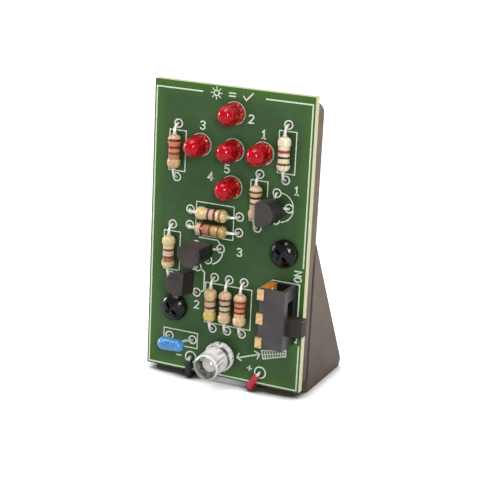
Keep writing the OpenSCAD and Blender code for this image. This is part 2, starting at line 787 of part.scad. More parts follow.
// Each lead starts under the body and is bent out to its hole.
module transistor_leads(i) {
    holes = transistor_pins(i);
    color("silver") stand_up() for (k = [0 : 2]) {
        pin = turned([(k - 1) * transistor_pin_pitch, 0], transistor_turn[i]);
        top = transistor_lift[i] - (pin.y + transistor_lead_d / 2) * tan(transistor_lean[i]) - seat_gap;
        from = transistor_at[i] + transistor_shift[i] + pin;
        tube([
            [from.x, from.y, top], [from.x, from.y, top - transistor_stub],
            [holes[k].x, holes[k].y, transistor_stub],
            [holes[k].x, holes[k].y, 0], [holes[k].x, holes[k].y, tail_end]
        ], transistor_lead_d, lead_sides);
    }
}

pcb();
solder_joints();
pcb_screws();
battery_tray();
battery_cover();
battery_cell();
positive_contact();
negative_contact();
red_lead();
black_lead();
lead_ends();
switch_housing();
switch_plate();
switch_terminals();
switch_slider();
switch_wiper();
capacitor_body();
capacitor_leads();
sensor_lens();
sensor_leads();
for (i = [0 : len(resistor_at) - 1]) {
    resistor(i);
    resistor_leads(i);
}
for (i = [0 : len(lamp_at) - 1]) {
    lamp_lens(i);
    lamp_leads(i);
}
for (i = [0 : len(transistor_at) - 1]) {
    transistor(i);
    transistor_leads(i);
}
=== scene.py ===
"""Looks of the component tester: finishes, board print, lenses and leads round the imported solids."""

import math

import bmesh
import bpy
from mathutils import Matrix, Vector


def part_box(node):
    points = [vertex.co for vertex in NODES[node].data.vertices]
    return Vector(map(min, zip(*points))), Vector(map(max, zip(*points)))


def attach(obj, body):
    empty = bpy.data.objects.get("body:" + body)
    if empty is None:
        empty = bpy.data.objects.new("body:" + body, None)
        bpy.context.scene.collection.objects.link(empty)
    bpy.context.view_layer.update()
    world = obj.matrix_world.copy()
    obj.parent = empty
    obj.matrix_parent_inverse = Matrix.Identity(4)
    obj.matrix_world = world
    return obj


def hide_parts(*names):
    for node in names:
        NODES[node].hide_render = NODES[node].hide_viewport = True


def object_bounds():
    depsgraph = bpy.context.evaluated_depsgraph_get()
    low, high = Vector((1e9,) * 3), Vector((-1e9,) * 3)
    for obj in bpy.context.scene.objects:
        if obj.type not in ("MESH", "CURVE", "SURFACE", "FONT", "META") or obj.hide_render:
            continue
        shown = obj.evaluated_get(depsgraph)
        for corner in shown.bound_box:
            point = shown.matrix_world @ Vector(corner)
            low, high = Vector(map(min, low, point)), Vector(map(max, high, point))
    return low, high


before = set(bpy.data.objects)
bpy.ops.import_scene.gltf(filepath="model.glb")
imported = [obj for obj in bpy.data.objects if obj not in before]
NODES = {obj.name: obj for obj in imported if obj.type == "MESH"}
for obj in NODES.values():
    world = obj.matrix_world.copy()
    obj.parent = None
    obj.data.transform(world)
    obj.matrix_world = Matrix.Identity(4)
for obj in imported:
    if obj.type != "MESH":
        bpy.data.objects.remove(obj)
CAD_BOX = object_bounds()
MM = 0.001

# The board's own frame: millimetres right, up and out of its lower left front corner.
BOARD_LOW, BOARD_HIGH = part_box("pcb")
BOARD_W = (BOARD_HIGH.x - BOARD_LOW.x) / MM
BOARD = Matrix((
    (MM, 0, 0, BOARD_LOW.x),
    (0, 0, -MM, BOARD_LOW.y),
    (0, MM, 0, BOARD_LOW.z),
    (0, 0, 0, 1),
))


# Camera

CAMERA_AT = (119.997, -227.099, 97.129)
CAMERA_RIGHT = Vector((0.90932, 0.41325, 0.04856))
CAMERA_UP = Vector((-0.15629, 0.23106, 0.96030))
CAMERA_FORWARD = Vector((-0.38562, 0.88081, -0.27470))
CAMERA_LENS = 100.53
FILM_W = 36
CLIP_NEAR = 0.01
CLIP_FAR = 50

camera = bpy.data.objects.new("camera", bpy.data.cameras.new("camera"))
bpy.context.scene.collection.objects.link(camera)
camera.data.lens = CAMERA_LENS
camera.data.sensor_width = FILM_W
camera.data.clip_start = CLIP_NEAR
camera.data.clip_end = CLIP_FAR
place = BOARD_LOW + Vector(CAMERA_AT) * MM
turn = Matrix((CAMERA_RIGHT, CAMERA_UP, -CAMERA_FORWARD)).transposed()
camera.matrix_world = Matrix.Translation(place) @ turn.to_4x4()
bpy.context.scene.camera = camera
bpy.context.scene.view_settings.view_transform = "Standard"


# Materials

# A face counts as facing an axis beyond this share of it.
FACING = 0.5
# The cut rim of the board in millimetres, and the edges of colour bands in shares of a resistor's length
RIM_T = 0.06
BAND_SOFT = 0.008
BAND_WOBBLE = 0.008
# How surfaces that close in and rounded edges are sampled
AO_SAMPLES = 8
AO_OPEN = 0.9
AO_CLOSED = 0.3
BEVEL_SAMPLES = 6
EDGE_DOT = 0.75


def shown(r, g, b):
    """Linear colour from the 0 to 255 values that a screen shows."""
    def line(c):
        return c / 12.92 if c <= 0.04045 else ((c + 0.055) / 1.055) ** 2.4
    return (line(r / 255), line(g / 255), line(b / 255), 1.0)


class Finish:
    """A node material with a principled shader, and texture coordinates in millimetres."""

    def __init__(self, name, **sockets):
        self.mat = bpy.data.materials.new(name)
        self.mat.use_nodes = True
        self.tree = self.mat.node_tree
        self.shader = self.tree.nodes["Principled BSDF"]
        self._mm = None
        for socket, value in sockets.items():
            self.put(self.shader.inputs[socket.replace("_", " ")], value)

    def put(self, socket, value):
        if isinstance(value, bpy.types.NodeSocket):
            self.tree.links.new(value, socket)
        else:
            socket.default_value = value

    def set(self, socket, value):
        self.put(self.shader.inputs[socket], value)
        return self

    def add(self, kind, inputs=None, **props):
        n = self.tree.nodes.new(kind)
        for k, v in props.items():
            setattr(n, k, v)
        for k, v in (inputs or {}).items():
            self.put(n.inputs[k], v)
        return n

    def mm(self):
        if self._mm is None:
            coords = self.add("ShaderNodeTexCoord")
            self._mm = self.add("ShaderNodeVectorMath", {0: coords.outputs["Object"], "Scale": 1 / MM},
                                operation="SCALE").outputs[0]
        return self._mm

    def axis(self, name):
        return self.add("ShaderNodeSeparateXYZ", {0: self.mm()}).outputs[name]

    def facing(self, name):
        """One axis of the direction that the surface faces."""
        normal = self.add("ShaderNodeTexCoord").outputs["Normal"]
        return self.add("ShaderNodeSeparateXYZ", {0: normal}).outputs[name]

    def stretch(self, x, y, z):
        return self.add("ShaderNodeVectorMath", {0: self.mm(), 1: (x, y, z)}, operation="MULTIPLY").outputs[0]

    def noise(self, scale, detail=3.0, rough=0.55, vector=None):
        inputs = {"Vector": vector or self.mm(), "Scale": scale, "Detail": detail, "Roughness": rough}
        return self.add("ShaderNodeTexNoise", inputs).outputs["Fac"]

    def cells(self, scale, vector=None, **props):
        return self.add("ShaderNodeTexVoronoi", {"Vector": vector or self.mm(), "Scale": scale}, **props)

    def math(self, operation, a, b=0.0):
        return self.add("ShaderNodeMath", {0: a, 1: b}, operation=operation).outputs[0]

    def span(self, value, low, high, to_low=0.0, to_high=1.0):
        return self.add("ShaderNodeMapRange", {"Value": value, "From Min": low, "From Max": high,
                                               "To Min": to_low, "To Max": to_high}).outputs[0]

    def mix(self, fac, a, b):
        n = self.add("ShaderNodeMix", data_type="RGBA")
        self.put(n.inputs[0], fac)
        self.put(n.inputs[6], a)
        self.put(n.inputs[7], b)
        return n.outputs[2]

    def ramp(self, fac, stops, interpolation="LINEAR"):
        n = self.add("ShaderNodeValToRGB", {"Fac": fac})
        n.color_ramp.interpolation = interpolation
        while len(n.color_ramp.elements) < len(stops):
            n.color_ramp.elements.new(1.0)
        for e, (at, colour) in zip(n.color_ramp.elements, stops):
            e.position = at
            e.color = colour
        return n.outputs["Color"]

    def bump(self, height, depth):
        """Relief of that depth in millimetres from a height between 0 and 1."""
        n = self.add("ShaderNodeBump", {"Height": height, "Strength": 1.0, "Distance": depth * MM})
        before = self.shader.inputs["Normal"]
        if before.is_linked:
            self.put(n.inputs["Normal"], before.links[0].from_socket)
        self.put(before, n.outputs[0])
        return self

    def closed_in(self, reach, weight):
        """How far other surfaces close in on this one within that reach in millimetres, up to a weight."""
        near = self.add("ShaderNodeAmbientOcclusion", {"Distance": reach * MM},
                        samples=AO_SAMPLES).outputs["AO"]
        return self.span(near, AO_OPEN, AO_CLOSED, 0.0, weight)

    def edges(self, radius):
        """Rounds the edges in the shading and gives how near an edge is, from 0 to 1."""
        bevel = self.add("ShaderNodeBevel", {"Radius": radius * MM}, samples=BEVEL_SAMPLES).outputs[0]
        flat = self.add("ShaderNodeNewGeometry").outputs["Normal"]
        dot = self.add("ShaderNodeVectorMath", {0: bevel, 1: flat}, operation="DOT_PRODUCT").outputs["Value"]
        self.put(self.shader.inputs["Normal"], bevel)
        return self.span(dot, 1.0, EDGE_DOT)


def moulded(name, colour, lighter, rough=0.45, grain=0.012, edge=0.18, grain_scale=9.0, gloss=0.3,
            shade=None):
    """Moulded plastic: fine spark texture, cloudy colour and edges that are rubbed a little lighter, which
    also serves as a painted highlight along them.

    shade(finish) gives where painted shade darkens the plastic, and the tone there.
    """
    f = Finish(name, **{"Specular_IOR_Level": gloss})
    near = f.edges(edge)
    cloud = f.noise(0.22, 4.0)
    fine = f.noise(grain_scale, 3.0, 0.6)
    tone = f.mix(f.span(cloud, 0.3, 0.7), colour, lighter)
    tone = f.mix(f.span(fine, 0.35, 0.75, 0.0, 0.35), tone, lighter)
    # Edges are painted lighter in patches: rubbed wear, and a painted highlight along the edges.
    rubbed_and_highlit = f.math("MULTIPLY", near, f.span(f.noise(1.4), 0.3, 0.7, 0.15, 0.6))
    tone = f.mix(rubbed_and_highlit, tone, tuple(min(1.0, c * 1.7) for c in lighter[:3]) + (1.0,))
    if shade:
        where, deep = shade(f)
        tone = f.mix(where, tone, deep)
    f.set("Base Color", tone)
    f.set("Roughness", f.span(fine, 0.2, 0.8, rough - 0.08, rough + 0.1))
    f.bump(fine, grain)
    return f.mat


def metal(name, colour, dull, rough=0.28, scratch=0.006, metallic=1.0):
    """Plated or tinned metal with fine scratches and dull spots."""
    f = Finish(name, Metallic=metallic)
    spots = f.noise(1.7, 4.0)
    lines = f.noise(5.0, 4.0, 0.65, f.stretch(1.0, 1.0, 7.0))
    tone = f.mix(f.span(spots, 0.45, 0.75), colour, dull)
    # Painted shade where other surfaces close in, such as where leads go into holes.
    f.set("Base Color", f.mix(f.closed_in(0.5, 0.75), tone, shown(46, 44, 40)))
    f.set("Roughness", f.span(lines, 0.25, 0.8, rough - 0.1, rough + 0.14))
    f.bump(lines, scratch)
    return f.mat


def board_finish():
    """Green solder mask over the laminate, with the copper of the far side showing through."""
    f = Finish("board", IOR=1.5, **{"Specular_IOR_Level": 0.25})
    x, z = f.axis("X"), f.axis("Z")
    on_face = f.math("GREATER_THAN", f.math("ABSOLUTE", f.facing("Y")), FACING)
    low, high = BOARD_LOW / MM, BOARD_HIGH / MM
    # Outer edges are cream laminate, and the walls of the holes are brown.
    rim = f.math("MINIMUM", f.math("MINIMUM", f.math("SUBTRACT", x, low.x), f.math("SUBTRACT", high.x, x)),
                 f.math("MINIMUM", f.math("SUBTRACT", z, low.z), f.math("SUBTRACT", high.z, z)))
    on_rim = f.math("LESS_THAN", rim, RIM_T)
    copper = f.cells(0.2, f.stretch(1.0, 0.0, 1.25), distance="CHEBYCHEV", feature="F1")
    pours = f.span(f.add("ShaderNodeSeparateColor", {0: copper.outputs["Color"]}).outputs[0], 0.45, 0.55)
    cloud = f.noise(0.12, 4.0)
    speck = f.noise(6.0, 3.0, 0.6)
    mask = f.mix(f.span(cloud, 0.3, 0.7), shown(48, 76, 42), shown(59, 88, 50))
    mask = f.mix(f.math("MULTIPLY", pours, 0.14), mask, shown(34, 62, 30))
    mask = f.mix(f.span(speck, 0.55, 0.8, 0.0, 0.3), mask, shown(78, 104, 66))
    # The mask thins out to a yellower green along the rim.
    mask = f.mix(f.span(rim, 0.2, 2.6, 0.55, 0.0), mask, shown(72, 112, 36))
    # Painted shade darkens the mask where the components close in on it.
    mask = f.mix(f.closed_in(2.4, 0.65), mask, shown(20, 30, 14))
    weave = f.noise(3.0, 2.0, 0.5, f.stretch(0.4, 9.0, 0.4))
    cream = f.mix(f.span(weave, 0.35, 0.65), shown(238, 232, 184), shown(254, 252, 216))
    wall = f.mix(f.span(weave, 0.3, 0.7), shown(128, 104, 86), shown(164, 138, 116))
    on_top = f.math("GREATER_THAN", z, high.z - RIM_T)
    raw = f.mix(f.span(weave, 0.35, 0.65), shown(176, 192, 138), shown(206, 216, 172))
    side = f.mix(on_rim, wall, f.mix(on_top, cream, raw))
    f.set("Base Color", f.mix(on_face, side, mask))
    f.set("Roughness", f.add("ShaderNodeMix", {0: on_face, 2: 0.75,
                                               3: f.span(speck, 0.2, 0.8, 0.28, 0.42)}).outputs[0])
    f.bump(f.noise(1.1, 3.0), 0.02).bump(pours, 0.012)
    return f.mat


def print_finish():
    """White ink, thin at places."""
    f = Finish("board_ink", Roughness=0.55)
    thin = f.noise(4.5, 4.0, 0.65)
    f.set("Base Color", f.mix(f.span(thin, 0.35, 0.7), shown(180, 197, 172), shown(228, 236, 221)))
    f.bump(thin, 0.01)
    return f.mat


def resistor_finish(name, node, body, bands):
    """Lacquer with colour bands: places from 0 to 1 along the body, from the top or the left."""
    low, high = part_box(node)
    size = (high - low) / MM
    along = "Z" if size.z > size.x else "X"
    f = Finish(name, IOR=1.5, **{"Specular_IOR_Level": 0.25, "Coat_Weight": 0.35, "Coat_Roughness": 0.16})
    place = f.axis(along)
    a, b = (high.z, low.z) if along == "Z" else (low.x, high.x)
    wobble = f.span(f.noise(1.6, 3.0), 0.3, 0.7, -BAND_WOBBLE, BAND_WOBBLE)
    t = f.math("ADD", f.span(place, a / MM, b / MM), wobble)
    blotch = f.noise(0.9, 4.0)
    streak = f.noise(2.4, 2.0, 0.5, f.stretch(*((1.3, 1.3, 0.22) if along == "Z" else (0.22, 1.3, 1.3))))
    darker = tuple(c * 0.6 for c in body[:3]) + (1.0,)
    paler = tuple(min(1.0, c * 1.35) for c in body[:3]) + (1.0,)
    colour = f.mix(f.span(blotch, 0.4, 0.75, 0.0, 0.7), body, darker)
    colour = f.mix(f.span(streak, 0.5, 0.64, 0.0, 0.55), colour, paler)
    colour = f.mix(f.span(streak, 0.46, 0.34, 0.0, 0.35), colour, darker)
    # Bands run a little into the lacquer at their edges.
    soft = BAND_SOFT
    for start, end, tone in bands:
        inside = f.math("MULTIPLY", f.span(t, start - soft, start + soft), f.span(t, end + soft, end - soft))
        colour = f.mix(inside, colour, f.mix(f.span(streak, 0.4, 0.9, 0.0, 0.12), tone, body))
    # The necks are thin lacquer over the bright leads.
    neck = f.math("ABSOLUTE", f.math("SUBTRACT", t, 0.5))
    colour = f.mix(f.span(neck, 0.45, 0.49, 0.0, 0.8), colour, shown(232, 224, 208))
    # Painted shade on the lacquer where the board and other parts close in.
    colour = f.mix(f.closed_in(1.2, 0.75), colour, shown(70, 44, 24))
    f.set("Base Color", colour)
    f.set("Roughness", f.span(streak, 0.3, 0.8, 0.28, 0.46))
    f.bump(blotch, 0.05)
    return f.mat


def dipped_finish():
    """Glossy blue dip coat with a slightly uneven skin."""
    f = Finish("dipped", Roughness=0.3, IOR=1.52, **{"Coat_Weight": 0.8, "Coat_Roughness": 0.05})
    skin = f.noise(0.7, 3.0)
    f.set("Base Color", f.mix(f.span(skin, 0.3, 0.7), shown(32, 112, 180), shown(68, 150, 208)))
    f.bump(skin, 0.08).bump(f.noise(2.0, 2.0), 0.34)
    return f.mat


def red_lens_finish():
    """Red cast resin with painted shade, darker low down and lighter towards the tip, and painted glints of
    the lead frame at the side of its flange.
    """
    sockets = {"Transmission_Weight": 0.1, "Specular_IOR_Level": 0.38}
    f = Finish("red_lens", IOR=1.45, Roughness=0.06, **sockets)
    cast = f.add("ShaderNodeAttribute", attribute_name="cast").outputs["Vector"]
    part = f.add("ShaderNodeSeparateXYZ", {0: cast}).outputs
    swirl = f.span(f.noise(0.9, 3.0), 0.3, 0.7, -0.06, 0.06)
    tall = f.math("ADD", part["Z"], swirl)
    # Painted shade: darker from the foot to above the flange, lighter towards the tip.
    tone = f.ramp(tall, [(0.0, shown(148, 6, 22)), (0.2, shown(154, 6, 22)), (0.36, shown(146, 2, 18)),
                         (0.66, shown(168, 1, 20)), (1.0, shown(182, 2, 24))])
    # Painted glints of the frame, low on the right side of the flange
    glint_cells = f.cells(1.9, distance="EUCLIDEAN", feature="F1").outputs["Distance"]
    near = f.math("MULTIPLY", f.span(part["Z"], 0.36, 0.2), f.span(part["X"], 0.3, 0.6))
    tone = f.mix(f.math("MULTIPLY", f.span(glint_cells, 0.46, 0.3), near), tone, shown(226, 84, 40))
    tone = f.mix(f.math("MULTIPLY", f.span(glint_cells, 0.3, 0.14), near), tone, shown(255, 196, 120))
    f.set("Base Color", tone)
    return f.mat


def clear_finish():
    """Water clear cast resin: its wall is painted white in drawn streaks as a painted reflection, and its
    front is polished.
    """
    f = Finish("clear", IOR=1.5, Roughness=0.02)
    cast = f.add("ShaderNodeAttribute", attribute_name="cast").outputs["Vector"]
    part = f.add("ShaderNodeSeparateXYZ", {0: cast}).outputs
    tall = part["Z"]
    draw = f.noise(0.7, 1.5, 0.5, f.stretch(1.7, 0.26, 1.7))
    tone = f.ramp(draw, [(0.3, shown(128, 128, 122)), (0.4, shown(242, 241, 239)),
                         (0.5, shown(255, 255, 255)), (0.6, shown(255, 255, 255)),
                         (0.72, shown(196, 192, 184))])
    # Painted shade: a broken dark line where the flange meets the wall, and a soft shaded band behind the
    # front edge
    line = f.math("MULTIPLY", f.span(tall, 0.13, 0.14), f.span(tall, 0.3, 0.25))
    edge = f.math("MULTIPLY", f.span(tall, 0.6, 0.77), f.span(tall, 0.84, 0.81))
    broken = f.span(f.noise(0.45, 1.0), 0.4, 0.52, 0.15, 0.9)
    tone = f.mix(f.math("MULTIPLY", line, broken), tone, shown(56, 56, 52))
    tone = f.mix(f.math("MULTIPLY", edge, 0.45), tone, shown(128, 120, 108))
    # Painted highlight: the edge of the front is a white ring round the clear middle.
    tone = f.mix(f.span(tall, 0.83, 0.835), tone, shown(240, 240, 236))
    # From within, the wall is painted mottled, as painted reflections and shade of the frame in it.
    inside = f.add("ShaderNodeNewGeometry").outputs["Backfacing"]
    painted_mottle = f.ramp(f.noise(1.3, 2.0), [(0.36, shown(70, 72, 68)), (0.47, shown(170, 170, 164)),
                                         (0.58, shown(250, 250, 248))])
    in_wall = f.math("MULTIPLY", inside, f.math("LESS_THAN", tall, 0.86))
    tone = f.mix(in_wall, tone, painted_mottle)
    f.set("Base Color", tone)
    f.set("Transmission Weight", f.span(tall, 0.865, 0.89, 0.25, 1.0))
    return f.mat


def wire_finish(name, colour, lighter):
    """Soft wire insulation with a fine extruded grain."""
    f = Finish(name, IOR=1.48)
    grain = f.noise(4.0, 3.0, 0.6)
    f.set("Base Color", f.mix(f.span(grain, 0.3, 0.7), colour, lighter))
    f.set("Roughness", f.span(grain, 0.2, 0.8, 0.34, 0.5))
    f.bump(grain, 0.02)
    return f.mat


def phenolic_finish():
    """Amber resin-bonded paper, with its layers at the cut edges."""
    f = Finish("phenolic", IOR=1.55)
    layer = f.noise(6.0, 3.0, 0.6, f.stretch(6.0, 0.5, 0.5))
    f.edges(0.08)
    f.set("Base Color", f.mix(f.span(layer, 0.3, 0.7), shown(176, 98, 22), shown(226, 150, 52)))
    f.set("Roughness", f.span(layer, 0.2, 0.8, 0.35, 0.55))
    f.bump(layer, 0.02)
    return f.mat


def cell_finish():
    """Plain printed foil sleeve with a darker end."""
    low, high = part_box("battery_cell")
    f = Finish("cell", Metallic=0.6)
    t = f.span(f.axis("X"), low.x / MM, high.x / MM)
    foil = f.noise(3.0, 4.0, 0.6, f.stretch(0.2, 2.0, 2.0))
    sleeve = f.ramp(t, [(0.0, shown(190, 190, 186)), (0.02, shown(44, 46, 50)), (0.3, shown(168, 132, 60)),
                        (0.955, shown(196, 194, 188))], "CONSTANT")
    f.set("Base Color", f.mix(f.span(foil, 0.3, 0.7, 0.0, 0.3), sleeve, shown(226, 222, 210)))
    f.set("Roughness", f.span(foil, 0.2, 0.8, 0.24, 0.42))
    f.bump(foil, 0.01)
    return f.mat


def low_shade(f):
    """Painted shade: the case is darker at its foot and gets lighter up to the middle of the board."""
    foot = BOARD_LOW.z / MM
    return f.span(f.axis("Z"), foot + LOW_SHADE_FULL, foot + LOW_SHADE_END, LOW_SHADE_WEIGHT, 0.0)


def tray_shade(f):
    """Painted shade on the tray's front faces, in the seam to the cover and towards its foot."""
    facing = f.facing("Y")
    front = f.math("MULTIPLY", f.math("LESS_THAN", facing, -FACING), FRONT_SHADE_WEIGHT)
    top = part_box("battery_cover")[1].z / MM
    beside = f.span(f.axis("Z"), top - SEAM_FADE, top, 1.0, 0.0)
    side = f.math("MULTIPLY", beside, f.math("LESS_THAN", facing, FACING))
    near = f.span(f.axis("Y"), SEAM - TRAY_SEAM_FROM, SEAM - TRAY_SEAM_FULL, 0.0, TRAY_SEAM_WEIGHT)
    seam_shade = f.math("MULTIPLY", side, near)
    return f.math("MAXIMUM", f.math("MAXIMUM", front, seam_shade), low_shade(f)), PAINTED_SHADE_TONE


def cover_shade(f):
    """Painted shade on the front edge of the cover, in the seam to the tray, and towards its foot."""
    seam_shade = f.span(f.axis("Y"), SEAM + COVER_SEAM_END, SEAM + COVER_SEAM_FULL, 0.0, COVER_SEAM_WEIGHT)
    return f.math("MAXIMUM", seam_shade, low_shade(f)), PAINTED_SHADE_TONE


def switch_shade(f):
    """Painted shade on the inside of the channel and the foot of its wall."""
    low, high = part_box("switch_housing")
    depth = f.span(f.axis("Y"), low.y / MM, high.y / MM)
    behind = f.math("GREATER_THAN", depth, 0.3)
    inner = f.math("MULTIPLY", behind, f.math("MAXIMUM", f.math("LESS_THAN", f.facing("X"), -FACING),
                                              f.math("LESS_THAN", f.facing("Y"), -FACING)))
    foot = f.math("MULTIPLY", f.math("GREATER_THAN", f.facing("X"), FACING), f.span(depth, 0.22, 0.45))
    return f.math("MAXIMUM", inner, foot), shown(16, 15, 16)


def mould_shade(f):
    """Painted shade: the sides are darker than the ends except where they face up, and darker where other
    surfaces close in.
    """
    side = f.span(f.facing("Y"), -0.8, -0.4, 0.0, 0.8)
    painted_top_light = f.span(f.facing("Z"), 0.9, 0.98, 1.0, 0.15)
    return f.math("MAXIMUM", f.math("MULTIPLY", side, painted_top_light), f.closed_in(1.5, 0.85)), shown(20, 19, 19)


# The seam between tray and cover in millimetres, and the painted shade in it, on the tray's front and towards
# the foot of the case
SEAM_BEHIND = 4.3
SEAM = BOARD_LOW.y / MM + SEAM_BEHIND
SEAM_FADE = 4.0
TRAY_SEAM_FROM = 1.0
TRAY_SEAM_FULL = 0.6
TRAY_SEAM_WEIGHT = 0.98
COVER_SEAM_FULL = 0.1
COVER_SEAM_END = 0.5
COVER_SEAM_WEIGHT = 0.9
FRONT_SHADE_WEIGHT = 0.8
PAINTED_SHADE_TONE = shown(24, 21, 20)
LOW_SHADE_FULL = 6.0
LOW_SHADE_END = 22.0
LOW_SHADE_WEIGHT = 0.4
MATERIALS = {
    "board": board_finish(),
    "tinned": metal("tinned", shown(232, 232, 228), shown(200, 198, 192), 0.3, metallic=0.35),
    "screw": moulded("screw", shown(9, 7, 8), shown(17, 14, 15), 0.14, 0.03, 0.1, 2.4, 0.4),
    "tray": moulded("tray", shown(121, 107, 94), shown(141, 125, 111), 0.6, gloss=0.15, shade=tray_shade),
    "case": moulded("case", shown(112, 96, 83), shown(131, 114, 100), 0.55, gloss=0.25, shade=cover_shade),
    "cell": cell_finish(),
    "plated": metal("plated", shown(214, 212, 206), shown(170, 164, 150), 0.24),
    "red_wire": wire_finish("red_wire", shown(170, 30, 52), shown(196, 58, 78)),
    "black_wire": wire_finish("black_wire", shown(22, 20, 20), shown(40, 37, 36)),
    "switch_body": moulded("switch_body", shown(62, 58, 59), shown(78, 74, 75), 0.42, 0.01, 0.16,
                           shade=switch_shade),
    "phenolic": phenolic_finish(),
    "terminal": metal("terminal", shown(232, 198, 148), shown(188, 142, 92), 0.3, metallic=0.5),
    "switch_knob": moulded("switch_knob", shown(33, 30, 28), shown(50, 46, 43), 0.45, 0.01, 0.14),
    "dipped": dipped_finish(),
    "clear": clear_finish(),
    "red_lens": red_lens_finish(),
    "mould": moulded("mould", shown(44, 38, 39), shown(72, 64, 63), 0.5, 0.05, 0.14, 2.6, shade=mould_shade),
}
INK = print_finish()


# Pieces

END_NIP = 0.06
SHARP_LENS = 50
SHARP_MOULD = 30
SHARP_WIRE = 60


def keep(node, material):
    """A CAD node stays as it is and gets this finish."""
    mesh = NODES[node].data
    mesh.materials.clear()
    mesh.materials.append(material)


def add_piece(name, bm, material, body="board", stands_for=(), smooth=True):
    """A mesh in board millimetres becomes a piece that rides on a body."""
    bm.transform(BOARD)
    bmesh.ops.recalc_face_normals(bm, faces=bm.faces)
    for face in bm.faces:
        face.smooth = smooth
    mesh = bpy.data.meshes.new(name)
    bm.to_mesh(mesh)
    bm.free()
    mesh.materials.append(material)
    obj = bpy.data.objects.new(name, mesh)
    bpy.context.scene.collection.objects.link(obj)
    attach(obj, body)
    if stands_for:
        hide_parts(*stands_for)
    return obj


def sharp_by_angle(obj, degrees):
    obj.data.set_sharp_from_angle(angle=math.radians(degrees))


def ring_strip(bm, rings, closed=False):
    """Quads between rows of vertices."""
    rows = list(zip(rings, rings[1:] + rings[:1])) if closed else list(zip(rings, rings[1:]))
    for a, b in rows:
        n = len(a)
        for k in range(n):
            bm.faces.new((a[k], a[(k + 1) % n], b[(k + 1) % n], b[k]))


def turned_solid(profile, sides, trim):
    """A closed solid of revolution about the axis out of the board, from (radius, height) pairs.

    trim cuts a flat: no point lies further left than it. Each point keeps its place in the casting,
    as shares of the widest radius and of the height.
    """
    bm = bmesh.new()
    cast = bm.verts.layers.float_vector.new("cast")
    reach = max(r for r, h in profile)
    tall = max(h for r, h in profile)
    rings = []
    for r, h in profile:
        ring = []
        for k in range(sides):
            a = 2 * math.pi * k / sides
            x, y = r * math.cos(a), r * math.sin(a)
            x = max(x, trim)
            v = bm.verts.new((x, y, h))
            v[cast] = (x / reach, y / reach, h / tall)
            ring.append(v)
        rings.append(ring)
    ring_strip(bm, rings)
    bm.faces.new(rings[0])
    bm.faces.new(rings[-1])
    return bm


def smooth_path(points, steps=4):
    """Points of a smooth curve through the given points."""
    p = [Vector(q) for q in points]
    out = []
    for i in range(len(p) - 1):
        a, b, c, d = p[max(i - 1, 0)], p[i], p[i + 1], p[min(i + 2, len(p) - 1)]
        for k in range(steps):
            t = k / steps
            out.append(0.5 * (2 * b + (c - a) * t + (2 * a - 5 * b + 4 * c - d) * t * t
                              + (3 * b - a - 3 * c + d) * t ** 3))
    return out + [p[-1]]


def tube(bm, path, d, sides):
    """A round rod along a path, with slightly rounded ends."""
    n = len(path)
    ways = [(path[min(i + 1, n - 1)] - path[max(i - 1, 0)]).normalized() for i in range(n)]
    side = ways[0].cross(Vector((1, 0, 0)) if abs(ways[0].x) < 0.7 else Vector((0, 1, 0))).normalized()
    stations = []
    for p, t in zip(path, ways):
        side = (side - side.dot(t) * t).normalized()
        stations.append((p, t, side, d / 2))
    nip = d * END_NIP
    first, last = stations[0], stations[-1]
    stations[0] = (first[0] + first[1] * nip, first[1], first[2], d / 2)
    stations[-1] = (last[0] - last[1] * nip, last[1], last[2], d / 2)
    stations.insert(0, (first[0], first[1], first[2], d / 2 - nip))
    stations.append((last[0], last[1], last[2], d / 2 - nip))
    rings = []
    for p, t, s, r in stations:
        up = t.cross(s)
        rings.append([bm.verts.new(p + r * (math.cos(2 * math.pi * k / sides) * s
                                            + math.sin(2 * math.pi * k / sides) * up)) for k in range(sides)])
    ring_strip(bm, rings)
    bm.faces.new(rings[0])
    bm.faces.new(rings[-1])


# Finishes of the CAD nodes

NODE_SLOTS = {
    "pcb": "board", "solder_joints": "tinned", "pcb_screws": "screw", "battery_tray": "tray",
    "battery_cover": "case", "battery_cell": "cell",
    "positive_contact": "plated", "negative_contact": "plated",
    "red_lead": "red_wire", "black_lead": "black_wire", "lead_ends": "tinned",
    "switch_housing": "switch_body", "switch_plate": "phenolic", "switch_terminals": "terminal",
    "switch_slider": "switch_knob", "switch_wiper": "terminal",
    "capacitor_body": "dipped", "capacitor_leads": "tinned",
    "sensor_lens": "clear", "sensor_leads": "tinned",
}
for node, slot in NODE_SLOTS.items():
    keep(node, MATERIALS[slot])
for i in range(1, 10):
    keep("resistor_leads_%d" % i, MATERIALS["tinned"])
for i in range(1, 6):
    keep("lamp_lens_%d" % i, MATERIALS["red_lens"])
    keep("lamp_leads_%d" % i, MATERIALS["tinned"])
for i in range(1, 4):
    keep("transistor_%d" % i, MATERIALS["mould"])
    keep("transistor_leads_%d" % i, MATERIALS["tinned"])

BROWN = shown(108, 54, 4)
RUST = shown(114, 26, 4)
RED = shown(148, 6, 22)
BLACK = shown(42, 22, 0)
UMBER = shown(84, 38, 26)
GREY = shown(80, 70, 56)
YELLOW = shown(200, 177, 88)
CREAM = shown(208, 188, 136)
VIOLET = shown(90, 44, 76)
PLUM = shown(84, 26, 42)
GREEN = shown(68, 70, 20)
GOLD = shown(130, 88, 36)
SALMON = shown(204, 122, 92)
PINK = shown(210, 168, 146)
ORANGE = shown(142, 90, 52)
CLAY = shown(172, 118, 88)
TAN = shown(194, 162, 134)
SMOKE = shown(184, 176, 150)
